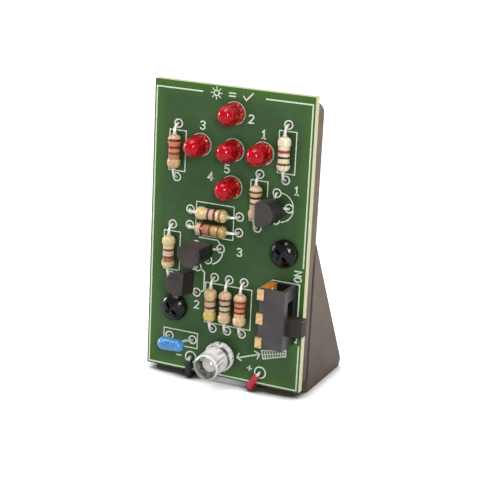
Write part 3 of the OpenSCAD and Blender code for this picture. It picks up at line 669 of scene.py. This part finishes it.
# Lacquer of each resistor, and its bands from start to end
RESISTOR_LOOKS = [
    ((200, 166, 124), [(0.145, 0.22, RUST), (0.22, 0.34, SALMON), (0.34, 0.415, RUST), (0.415, 0.5, SALMON),
                       (0.5, 0.57, BROWN), (0.57, 0.7, CLAY)]),
    ((230, 216, 184), [(0.355, 0.385, PINK), (0.385, 0.46, RED), (0.46, 0.49, PINK), (0.545, 0.605, BLACK),
                       (0.715, 0.775, BROWN)]),
    ((220, 196, 156), [(0.16, 0.225, BROWN), (0.32, 0.385, BLACK), (0.48, 0.535, GREY), (0.535, 0.92, TAN)]),
    ((212, 188, 138), [(0.1, 0.355, CREAM), (0.41, 0.48, VIOLET), (0.48, 0.575, PINK), (0.59, 0.66, PLUM),
                       (0.77, 0.83, GOLD)]),
    ((184, 154, 96), [(0.14, 0.245, PINK), (0.245, 0.31, RUST), (0.31, 0.48, CLAY), (0.48, 0.535, RUST),
                      (0.535, 0.575, CLAY), (0.735, 0.8, GOLD)]),
    ((214, 190, 146), [(0.07, 0.36, CREAM), (0.4, 0.46, PLUM), (0.46, 0.575, PINK), (0.595, 0.66, BROWN),
                       (0.66, 0.755, ORANGE)]),
    ((206, 178, 132), [(0.33, 0.395, GOLD), (0.395, 0.515, TAN), (0.515, 0.585, PLUM), (0.585, 0.635, PINK),
                       (0.655, 0.86, YELLOW)]),
    ((202, 174, 136), [(0.22, 0.29, UMBER), (0.29, 0.385, TAN), (0.39, 0.455, BLACK), (0.455, 0.53, SMOKE),
                       (0.55, 0.605, GREEN)]),
    ((208, 180, 138), [(0.175, 0.215, SALMON), (0.215, 0.28, RUST), (0.28, 0.37, SALMON), (0.37, 0.435, RUST),
                       (0.435, 0.51, SALMON), (0.51, 0.575, RUST), (0.575, 0.62, PINK)]),
]
for i, (body, bands) in enumerate(RESISTOR_LOOKS, 1):
    node = "resistor_%d" % i
    keep(node, resistor_finish("resistor_bands_%d" % i, node, shown(*body), bands))


# Lenses

LAMPS = [(BOARD_W - 9.7, 44.65), (BOARD_W / 2 + 0.35, 51.3), (9.8, 44.65), (BOARD_W / 2 + 0.4, 37.5),
         (BOARD_W / 2 + 0.4, 44.5)]
LAMP_D = 3.62
LAMP_H = 5.1
LAMP_STEP = 0.24
LAMP_SIDES = 48
SENSOR = (BOARD_W / 2 + 0.3, 5.0)
SENSOR_D = 5.0
SENSOR_H = 7.5
SENSOR_DOME = 1.2
SENSOR_LIFT = 1.4
SENSOR_PIVOT = 2.05
SENSOR_TILT = math.radians(3)
SENSOR_STEP = 0.42
SENSOR_SIDES = 64
FLANGE_T = 1.0
FLANGE_FLAT = 0.2
CASTING_R = 0.08
DOME_STEPS = 14
TIP_R = 0.02


def lens_profile(d, h, dome, step):
    """Radius and height of a cast lens from its foot to the tip of its dome."""
    r = d / 2
    flange = r + step
    c = CASTING_R
    mid = 0.3 * c
    pairs = [(TIP_R, 0.0), (flange - c, 0.0), (flange - mid, mid), (flange, c), (flange, FLANGE_T - c),
             (flange - mid, FLANGE_T - mid), (flange - c, FLANGE_T), (r + c, FLANGE_T),
             (r + mid, FLANGE_T + mid), (r, FLANGE_T + c)]
    ball = (r * r + dome * dome) / (2 * dome)
    rim = math.atan2(r, ball - dome)
    for k in range(DOME_STEPS + 1):
        a = rim * (1 - k / DOME_STEPS)
        pairs.append((max(ball * math.sin(a), TIP_R), h - ball + ball * math.cos(a)))
    return pairs


for i, (x, y) in enumerate(LAMPS, 1):
    lens = turned_solid(lens_profile(LAMP_D, LAMP_H, LAMP_D / 2, LAMP_STEP), LAMP_SIDES,
                        -(LAMP_D / 2 + LAMP_STEP) + FLANGE_FLAT)
    lens.transform(Matrix.Translation((x, y, 0)))
    piece = add_piece("lamp_%d" % i, lens, MATERIALS["red_lens"], stands_for=["lamp_lens_%d" % i])
    sharp_by_angle(piece, SHARP_LENS)

lens = turned_solid(lens_profile(SENSOR_D, SENSOR_H, SENSOR_DOME, SENSOR_STEP), SENSOR_SIDES,
                    -(SENSOR_D / 2 + SENSOR_STEP) + FLANGE_FLAT)
SENSOR_STAND = (Matrix.Translation((SENSOR[0], SENSOR[1], -SENSOR_PIVOT))
                @ Matrix.Rotation(SENSOR_TILT, 4, "X")
                @ Matrix.Translation((0, 0, SENSOR_LIFT + SENSOR_PIVOT)))
lens.transform(SENSOR_STAND)
piece = add_piece("sensor", lens, MATERIALS["clear"], stands_for=["sensor_lens"])
sharp_by_angle(piece, SHARP_LENS)


def block(bm, low, high, nip):
    """A stamped block with nipped corners."""
    (x0, y0, z0), (x1, y1, z1) = low, high
    outline = [(x0 + nip, y0), (x1 - nip, y0), (x1, y0 + nip), (x1, y1 - nip), (x1 - nip, y1), (x0 + nip, y1),
               (x0, y1 - nip), (x0, y0 + nip)]
    rings = [[bm.verts.new((x, y, z)) for x, y in outline] for z in (z0, z1)]
    ring_strip(bm, rings)
    bm.faces.new(rings[0])
    bm.faces.new(rings[1])


# The lead frame that is cast into the sensor: two posts, a seat and the chip on it
LEAD_FRAME = [
    ((-1.52, -0.25, 0.1), (-1.02, 0.25, 2.9), 0.08),
    ((1.02, -0.25, 0.1), (1.52, 0.25, 3.3), 0.08),
    ((-1.6, -1.3, 2.9), (0.75, 1.3, 3.3), 0.2),
    ((0.95, -0.5, 3.3), (1.6, 0.5, 3.6), 0.1),
]
CHIP_BLOCK = ((-1.45, -1.15, 3.3), (0.6, 1.0, 3.52), 0.05)
BOND_WIRE = [(0.1, 0, 3.5), (0.4, 0, 3.95), (0.9, 0, 3.9), (1.25, 0, 3.58)]
BOND_D = 0.06
BOND_SIDES = 8
bm = bmesh.new()
for low, high, nip in LEAD_FRAME:
    block(bm, low, high, nip)
tube(bm, smooth_path(BOND_WIRE), BOND_D, BOND_SIDES)
bm.transform(SENSOR_STAND)
add_piece("sensor_frame", bm, MATERIALS["plated"], smooth=False)
bm = bmesh.new()
block(bm, *CHIP_BLOCK)
bm.transform(SENSOR_STAND)
add_piece("sensor_chip", bm, MATERIALS["mould"], smooth=False)


# Transistors

TRANSISTORS = [(BOARD_W - 6.53, 35.15, 90), (10.15, 18.6, -90), (12.26, 25.4, 0)]
TRANSISTOR_LIFT = [1.3, 3.4, 3.6]
TRANSISTOR_SHIFT = [(-0.3, -0.4), (-0.3, 0.6), (0.35, 0.45)]
TRANSISTOR_LEAN = [1, 7, 1.5]
TRANSISTOR_R = 2.35
TRANSISTOR_LEN = [4.9, 4.7, 5.7]
TRANSISTOR_FLAT = 1.35
TRANSISTOR_FLAT_W = 4.4
TRANSISTOR_TAPER = 0.04
SHOULDER = math.radians(5)
MOULD_NIP = 0.12
BACK_STEPS = 24


def transistor_outline():
    """Section of a moulded body: a flat, two straight cheeks and a round back."""
    half = TRANSISTOR_FLAT_W / 2
    flat = [(-half, TRANSISTOR_FLAT - MOULD_NIP), (MOULD_NIP - half, TRANSISTOR_FLAT),
            (half - MOULD_NIP, TRANSISTOR_FLAT), (half, TRANSISTOR_FLAT - MOULD_NIP)]
    sweep = math.pi + 2 * SHOULDER
    turns = [SHOULDER - sweep * k / BACK_STEPS for k in range(BACK_STEPS + 1)]
    return flat + [(TRANSISTOR_R * math.cos(a), TRANSISTOR_R * math.sin(a)) for a in turns]


for i, (x, y, turn) in enumerate(TRANSISTORS):
    bm = bmesh.new()
    rings = []
    length = TRANSISTOR_LEN[i]
    for h, inset in ((0, MOULD_NIP), (MOULD_NIP, 0), (length - MOULD_NIP, 0), (length, MOULD_NIP)):
        share = (1 - TRANSISTOR_TAPER * h / length) * (1 - inset / TRANSISTOR_R)
        rings.append([bm.verts.new((share * u, share * v, h)) for u, v in transistor_outline()])
    ring_strip(bm, rings)
    bm.faces.new(rings[0])
    bm.faces.new(rings[-1])
    dx, dy = TRANSISTOR_SHIFT[i]
    bm.transform(Matrix.Translation((x + dx, y + dy, TRANSISTOR_LIFT[i]))
                 @ Matrix.Rotation(math.radians(-TRANSISTOR_LEAN[i]), 4, "X")
                 @ Matrix.Rotation(math.radians(turn), 4, "Z"))
    piece = add_piece("transistor_body_%d" % (i + 1), bm, MATERIALS["mould"],
                      stands_for=["transistor_%d" % (i + 1)])
    sharp_by_angle(piece, SHARP_MOULD)


# Leads

LEAD_D = 1.3
LEAD_FRONT = 0.75
LEAD_LOW = -0.7
LEAD_IN = 0.6
LEAD_REAR = -5.27
TAIL_END = -2.8
RED_PAD = (BOARD_W - 7.97, 2.54)
BLACK_PAD = (9.44, 2.8)
RED_END = 27.2
LEAD_SIDES = 18
BEND_TURNS = (0, 22.5, 45, 67.5, 90)


def edge_bend(start, end):
    """Quarter turn of a lead over the lower edge of the board."""
    return [(start + (end - start) * a / 90, LEAD_LOW + LEAD_FRONT * (1 - math.sin(math.radians(a))),
             LEAD_FRONT * math.cos(math.radians(a))) for a in BEND_TURNS]


def rear_run(start, end):
    """Way of a lead behind the board to its contact strip."""
    return [(start + (end - start) * u, y, LEAD_REAR + z) for u, y, z in (
        (0, LEAD_LOW, 3.025), (0, LEAD_LOW + 0.2, 2.37), (0, LEAD_IN - 0.5, 1.5), (0.05, LEAD_IN, 0.67),
        (0.2, LEAD_IN + 0.3, -0.03), (0.5, LEAD_IN + 0.7, -0.23), (0.75, LEAD_IN + 1.3, 0),
        (1, LEAD_IN + 1.9, 0))]


red_route = [(RED_PAD[0] - u, y, LEAD_FRONT) for u, y in ((0.38, 1.95), (0.83, 1.25), (1.33, 0.5))]
red_route += edge_bend(RED_PAD[0] - 1.53, RED_PAD[0] - 1.83) + rear_run(RED_PAD[0] - 1.83, RED_END)
black_route = [(BLACK_PAD[0], y, LEAD_FRONT) for y in (2.2, 1.3, 0.5)]
black_route += edge_bend(BLACK_PAD[0], BLACK_PAD[0]) + rear_run(BLACK_PAD[0], BOARD_W - RED_END)
for name, route, slot in (("red_lead", red_route, "red_wire"), ("black_lead", black_route, "black_wire")):
    bm = bmesh.new()
    tube(bm, smooth_path(route, 3), LEAD_D, LEAD_SIDES)
    piece = add_piece(name + "_wire", bm, MATERIALS[slot], stands_for=[name])
    sharp_by_angle(piece, SHARP_WIRE)

# The tinned strands of the lead ends lie twisted beside each other.
STRANDS = 5
STRAND_D = 0.22
STRAND_RING = 0.19
STRAND_SIDES = 8
STRAND_TWIST = 0.12
STRAND_INSIDE = 0.2
STRAND_OUT = 0.3
STRAND_DIP = 0.4
bm = bmesh.new()
for route, pad in ((red_route, RED_PAD), (black_route, BLACK_PAD)):
    start, after = Vector(route[0]), Vector(route[1])
    way = (start - after).normalized()
    spine = [start - way * STRAND_INSIDE, start, start + way * STRAND_OUT]
    spine += [(pad[0], pad[1], h) for h in (STRAND_DIP, 0, TAIL_END / 2, TAIL_END)]
    spine = smooth_path(spine, 5)
    n = len(spine)
    for s in range(STRANDS):
        path = []
        for k, p in enumerate(spine):
            t = (spine[min(k + 1, n - 1)] - spine[max(k - 1, 0)]).normalized()
            u = t.cross(Vector((1, 0, 0))).normalized()
            a = 2 * math.pi * s / STRANDS + STRAND_TWIST * k
            path.append(p + STRAND_RING * (math.cos(a) * u + math.sin(a) * t.cross(u)))
        tube(bm, path, STRAND_D, STRAND_SIDES)
add_piece("lead_strands", bm, MATERIALS["tinned"], stands_for=["lead_ends"])


# Board print

INK_W = 0.26
THIN_W = 0.19
INK_T = 0.03
INK_SINK = 0.01
ARC_STEP = 9


def ribbon(bm, points, width=INK_W, closed=False):
    """A flat printed line of even width with round ends, raised a little over the board."""
    p = [Vector(q) for q in points]
    n = len(p)
    left, right = [], []
    for i in range(n):
        before = p[i] - p[i - 1] if i or closed else p[1] - p[0]
        after = p[(i + 1) % n] - p[i] if i < n - 1 or closed else p[-1] - p[-2]
        before, after = before.normalized(), after.normalized()
        t = (before + after).normalized()
        normal = Vector((-t.y, t.x))
        reach = width / 2 / max(0.4, normal.dot(Vector((-after.y, after.x))))
        left.append(p[i] + normal * reach)
        right.append(p[i] - normal * reach)
    if closed:
        rows = []
        for loop, h in ((left, INK_T), (right, INK_T), (right, -INK_SINK), (left, -INK_SINK)):
            rows.append([bm.verts.new((q.x, q.y, h)) for q in loop])
        ring_strip(bm, rows, closed=True)
        return
    def cap(end, way):
        side = Vector((-way.y, way.x))
        return [end + width / 2 * (math.cos(a) * side + math.sin(a) * way)
                for a in (math.pi / 4, math.pi / 2, 3 * math.pi / 4)]
    outline = left + cap(p[-1], (p[-1] - p[-2]).normalized()) + right[::-1]
    outline += cap(p[0], (p[0] - p[1]).normalized())
    top = [bm.verts.new((q.x, q.y, INK_T)) for q in outline]
    low = [bm.verts.new((q.x, q.y, -INK_SINK)) for q in outline]
    bm.faces.new(top)
    bm.faces.new(low[::-1])
    m = len(outline)
    for k in range(m):
        bm.faces.new((top[k], low[k], low[(k + 1) % m], top[(k + 1) % m]))


def arc(x, y, r, start, end):
    n = max(2, int(abs(end - start) / ARC_STEP))
    return [(x + r * math.cos(math.radians(start + (end - start) * k / n)),
             y + r * math.sin(math.radians(start + (end - start) * k / n))) for k in range(n + 1)]


def circle(bm, x, y, r):
    ribbon(bm, arc(x, y, r, 0, 360)[:-1], closed=True)


def box(bm, x0, y0, x1, y1):
    ribbon(bm, [(x0, y0), (x1, y0), (x1, y1), (x0, y1)], THIN_W, closed=True)


GLYPHS = {
    "1": [[(0.12, 0.8), (0.35, 1.0), (0.35, 0.0)], [(0.12, 0.0), (0.58, 0.0)]],
    "2": [[(0.02, 0.85), (0.2, 1.0), (0.45, 1.0), (0.62, 0.82), (0.58, 0.6), (0.02, 0.0), (0.64, 0.0)]],
    "3": [[(0.02, 0.88), (0.2, 1.0), (0.45, 1.0), (0.62, 0.85), (0.58, 0.64), (0.36, 0.53),
           (0.58, 0.42), (0.64, 0.2), (0.46, 0.0), (0.18, 0.0), (0.0, 0.14)]],
    "4": [[(0.46, 0.0), (0.46, 1.0), (0.0, 0.32), (0.66, 0.32)]],
    "5": [[(0.58, 1.0), (0.08, 1.0), (0.04, 0.56), (0.4, 0.6), (0.62, 0.42), (0.6, 0.16),
           (0.42, 0.0), (0.16, 0.0), (0.0, 0.12)]],
    "O": [[(0.0, 0.25), (0.0, 0.75), (0.2, 1.0), (0.44, 1.0), (0.64, 0.75), (0.64, 0.25),
           (0.44, 0.0), (0.2, 0.0), (0.0, 0.25)]],
    "N": [[(0.0, 0.0), (0.0, 1.0), (0.62, 0.0), (0.62, 1.0)]],
    "+": [[(0.0, 0.5), (0.7, 0.5)], [(0.35, 0.15), (0.35, 0.85)]],
    "-": [[(0.0, 0.5), (0.7, 0.5)]],
}
GLYPH_STEP = 0.92


def write(bm, signs, x, y, height, degrees=0.0, width=INK_W):
    """Plain drawn signs, from their lower left corner."""
    c, s = math.cos(math.radians(degrees)), math.sin(math.radians(degrees))
    for k, sign in enumerate(signs):
        for stroke in GLYPHS[sign]:
            points = []
            for u, v in stroke:
                u, v = (u + k * GLYPH_STEP) * height, v * height
                points.append((x + u * c - v * s, y + u * s + v * c))
            ribbon(bm, points, width)


RESISTORS = [(5.08, 43, 90), (BOARD_W - 5, 45.38, 90), (BOARD_W - 10.1, 35.65, 90),
             (BOARD_W / 2 - 2.77, 32.1, 0), (BOARD_W / 2 - 2.77, 29.09, 0), (4.59, 23.57, 90),
             (BOARD_W / 2 - 2.25, 14.56, 90), (BOARD_W / 2 + 0.8, 14.56, 90), (BOARD_W / 2 + 3.88, 14.56, 90)]
RESISTOR_PITCH = 10.16
PIN_SPREAD = 2.54
CAPACITOR = (7.19, 6.36)
CAP_PITCH = 5.0
HOLE_RING_R = 0.76
PAD_RING_R = 1.1

ink = bmesh.new()
for x, y, a in RESISTORS:
    dx, dy = (0, RESISTOR_PITCH / 2) if a else (RESISTOR_PITCH / 2, 0)
    circle(ink, x + dx, y + dy, HOLE_RING_R)
    circle(ink, x - dx, y - dy, HOLE_RING_R)
for x, y, a in TRANSISTORS:
    c, s = math.cos(math.radians(a)), math.sin(math.radians(a))
    for u, v in ((-1, 0), (0, -1), (1, 0)):
        circle(ink, x + PIN_SPREAD * (u * c - v * s), y + PIN_SPREAD * (u * s + v * c), HOLE_RING_R)
for s in (-1, 1):
    circle(ink, CAPACITOR[0] + s * CAP_PITCH / 2, CAPACITOR[1], HOLE_RING_R)
circle(ink, *BLACK_PAD, PAD_RING_R)
circle(ink, *RED_PAD, PAD_RING_R)

# Frame round the board, open at the top middle and beside the switch
FRAME_L, FRAME_R = 0.42, 31.6
FRAME_B, FRAME_T = 0.42, 54.6
ribbon(ink, [(9.8, FRAME_T), (FRAME_L, FRAME_T), (FRAME_L, FRAME_B), (FRAME_R, FRAME_B), (FRAME_R, 9.2)])
ribbon(ink, [(22.5, FRAME_T), (FRAME_R, FRAME_T), (FRAME_R, 24.4)])

# Outlines under the components
BOXES = [(3.35, 39.1, 6.72, 46.8), (25.4, 41.5, 28.8, 49.3), (20.3, 31.8, 23.7, 39.5),
         (9.43, 27.4, 17.2, 33.8), (2.87, 19.7, 6.28, 27.3), (12.0, 10.5, 21.6, 18.4),
         (3.49, 4.72, 10.72, 7.8)]
LAMP_RING_R = 2.13
LAMP_RING_W = 0.1
LAMP_RING_TURN = 150
for corners in BOXES:
    box(ink, *corners)
for x, y in LAMPS:
    ribbon(ink, arc(x, y, LAMP_RING_R, -LAMP_RING_TURN, LAMP_RING_TURN), LAMP_RING_W)
ribbon(ink, arc(26.2, 35.1, 2.77, -80, 83), THIN_W)
ribbon(ink, [(10.2, 26.96), (14.1, 26.96), (14.6, 26.3)])
ribbon(ink, arc(12.26, 25.0, 3.0, -70, -8))
ribbon(ink, arc(12.26, 25.0, 3.0, 190, 245))
ribbon(ink, [(10.9, 20.8), (11.65, 20.3), (11.65, 16.7), (10.9, 16.2)])
ribbon(ink, [(25.6, 21.1), (31.1, 21.1), (31.1, 14.6)])
ribbon(ink, [(31.1, 11.2), (31.1, 9.9), (29.6, 9.9)])

# Plain numbers by the lamps and the transistors, and the marks of the switch and the leads
NUMBERS = [("3", 9.6, 47.6), ("2", 19.3, 49.9), ("1", 21.9, 47.4), ("5", 14.9, 40.1), ("4", 11.6, 38.2),
           ("1", 28.9, 37.9), ("3", 18.2, 24.6), ("2", 9.8, 12.9)]
NUMBER_H = 1.45
ON_W = 0.28
for sign, x, y in NUMBERS:
    write(ink, sign, x, y, NUMBER_H)
write(ink, "ON", 31.3, 21.6, 1.3, 90, ON_W)
write(ink, "+", 21.5, 2.4, 1.2)
write(ink, "-", 6.4, 2.1, 1.3)

# Double arrow from the sensor to a plain grid of keys
ribbon(ink, [(19.4, 4.6), (23.9, 6.2)])
ribbon(ink, [(19.6, 5.5), (19.2, 4.6), (20.1, 4.2)])
ribbon(ink, [(22.8, 6.6), (23.9, 6.2), (23.4, 5.2)])
KEYS = [(24.2, 7.0), (29.1, 7.9), (29.15, 6.75), (24.6, 5.4)]
KEY_FRAME_W = 0.22
KEY_W = 0.2
KEY_COLUMNS = 9
ribbon(ink, KEYS, KEY_FRAME_W, closed=True)


def between(a, b, t):
    return (a[0] + (b[0] - a[0]) * t, a[1] + (b[1] - a[1]) * t)


ribbon(ink, [between(KEYS[0], KEYS[3], 0.5), between(KEYS[1], KEYS[2], 0.5)], KEY_W)
for k in range(1, KEY_COLUMNS):
    t = k / KEY_COLUMNS
    ribbon(ink, [between(KEYS[0], KEYS[1], t), between(KEYS[3], KEYS[2], t)], KEY_W)

# A small lamp with rays and a tick stand in the gap of the frame
LAMP_SIGN_X, LAMP_SIGN_Y = 12.6, 54.6
LAMP_SIGN_R = 0.5
RAY_FROM = 0.8
RAY_TO = 1.15
RAY_W = 0.18
circle(ink, LAMP_SIGN_X, LAMP_SIGN_Y, LAMP_SIGN_R)
for a in range(0, 360, 45):
    c, s = math.cos(math.radians(a)), math.sin(math.radians(a))
    ribbon(ink, [(LAMP_SIGN_X + r * c, LAMP_SIGN_Y + r * s) for r in (RAY_FROM, RAY_TO)], RAY_W)
ribbon(ink, [(15.2, 54.9), (16.4, 54.9)])
ribbon(ink, [(15.2, 54.35), (16.4, 54.35)])
ribbon(ink, [(18.0, 54.6), (18.6, 53.9), (19.9, 55.3)])
add_piece("board_print", ink, INK, smooth=False)


# Studio

def studio_floor():
    """White floor that keeps the lamps' shadows, with painted shade where the object closes in on it, and
    shows white where it is open.
    """
    f = Finish("floor")
    tree = f.tree
    tree.nodes.remove(f.shader)
    near = f.add("ShaderNodeAmbientOcclusion", {"Distance": SHADOW_REACH},
                 samples=SHADOW_SAMPLES).outputs["AO"]
    open_share = f.span(near, SHADOW_FULL, SHADOW_NONE)
    rays = f.add("ShaderNodeLightPath").outputs
    mirrored = f.math("MAXIMUM", rays["Is Glossy Ray"], rays["Is Transmission Ray"])
    behind = f.span(f.axis("Y"), MIRRORED_FROM, MIRRORED_FULL, MIRRORED_GLOW, MIRRORED_BEHIND)
    seen = f.math("MAXIMUM", f.math("MULTIPLY", rays["Is Camera Ray"], FLOOR_GLOW),
                  f.math("MULTIPLY", mirrored, behind))
    # Painted shade: paint and glow both darken where the object closes in on the floor.
    paint = f.mix(open_share, PAINT_SHADED, PAINT_OPEN)
    diffuse = f.add("ShaderNodeBsdfDiffuse", {"Color": paint}).outputs[0]
    glow = f.add("ShaderNodeEmission", {"Strength": f.math("MULTIPLY", seen, open_share)}).outputs[0]
    both = f.add("ShaderNodeAddShader", {0: diffuse, 1: glow}).outputs[0]
    f.put(tree.nodes["Material Output"].inputs["Surface"], both)
    return f.mat


SHADOW_REACH = 0.0045
SHADOW_SAMPLES = 12
SHADOW_FULL = 0.35
SHADOW_NONE = 0.85
PAINT_SHADED = (0.1, 0.1, 0.1, 1)
PAINT_OPEN = (0.6, 0.6, 0.6, 1)
FLOOR_GLOW = 0.9
# The floor mirrors brighter behind the object, between these two places in millimetres.
MIRRORED_FROM = -10.0
MIRRORED_FULL = 15.0
MIRRORED_GLOW = 0.15
MIRRORED_BEHIND = 0.8
FLOOR_HALF = 4.0
FLOOR_DROP = 0.00002
bm = bmesh.new()
bmesh.ops.create_grid(bm, x_segments=1, y_segments=1, size=FLOOR_HALF)
mesh = bpy.data.meshes.new("floor")
bm.to_mesh(mesh)
bm.free()
floor = bpy.data.objects.new("floor", mesh)
mesh.materials.append(studio_floor())
bpy.context.scene.collection.objects.link(floor)
floor.location.z = CAD_BOX[0].z - FLOOR_DROP

AMBIENT = 0.3
BACKDROP_FROM = -0.1
BACKDROP_FULL = 0.25


def studio_world():
    """Dim all round for light, and a white backdrop behind the object for what is seen or mirrored."""
    world = bpy.data.worlds.new("studio")
    world.use_nodes = True
    tree = world.node_tree

    def add(kind, operation=None):
        n = tree.nodes.new(kind)
        if operation:
            n.operation = operation
        return n

    def join(source, node, socket):
        tree.links.new(source, node.inputs[socket])

    rays = add("ShaderNodeLightPath").outputs
    way = add("ShaderNodeSeparateXYZ")
    join(add("ShaderNodeTexCoord").outputs["Generated"], way, 0)
    behind = add("ShaderNodeMapRange")
    behind.inputs["From Min"].default_value = BACKDROP_FROM
    behind.inputs["From Max"].default_value = BACKDROP_FULL
    join(way.outputs["Y"], behind, "Value")
    mirrored = add("ShaderNodeMath", "MULTIPLY")
    join(rays["Is Glossy Ray"], mirrored, 0)
    join(behind.outputs[0], mirrored, 1)
    seen = add("ShaderNodeMath", "MAXIMUM")
    join(rays["Is Camera Ray"], seen, 0)
    join(rays["Is Transmission Ray"], seen, 1)
    white = add("ShaderNodeMath", "MAXIMUM")
    join(seen.outputs[0], white, 0)
    join(mirrored.outputs[0], white, 1)
    level = add("ShaderNodeMapRange")
    level.inputs["To Min"].default_value = AMBIENT
    level.inputs["To Max"].default_value = 1.0
    join(white.outputs[0], level, "Value")
    back = tree.nodes["Background"]
    back.inputs["Color"].default_value = (1, 1, 1, 1)
    join(level.outputs[0], back, "Strength")
    return world


bpy.context.scene.world = studio_world()


def lamp(name, at, target, size, power):
    """A soft light, wide and high, that looks at a point."""
    data = bpy.data.lights.new(name, "AREA")
    data.shape = "RECTANGLE"
    data.size, data.size_y = size
    data.energy = power
    obj = bpy.data.objects.new(name, data)
    obj.location = Vector(at)
    obj.rotation_mode = "QUATERNION"
    obj.rotation_quaternion = (Vector(target) - Vector(at)).to_track_quat("-Z", "Y")
    bpy.context.scene.collection.objects.link(obj)


MIDDLE = (0.0, -0.01, 0.03)
lamp("front", (0.37, -0.64, 0.33), MIDDLE, (0.17, 0.24), 3.8)
lamp("left", (-0.67, -0.08, 0.16), MIDDLE, (0.15, 0.22), 2.3)
lamp("top", (-0.1, -0.2, 0.8), MIDDLE, (0.5, 0.5), 4.0)
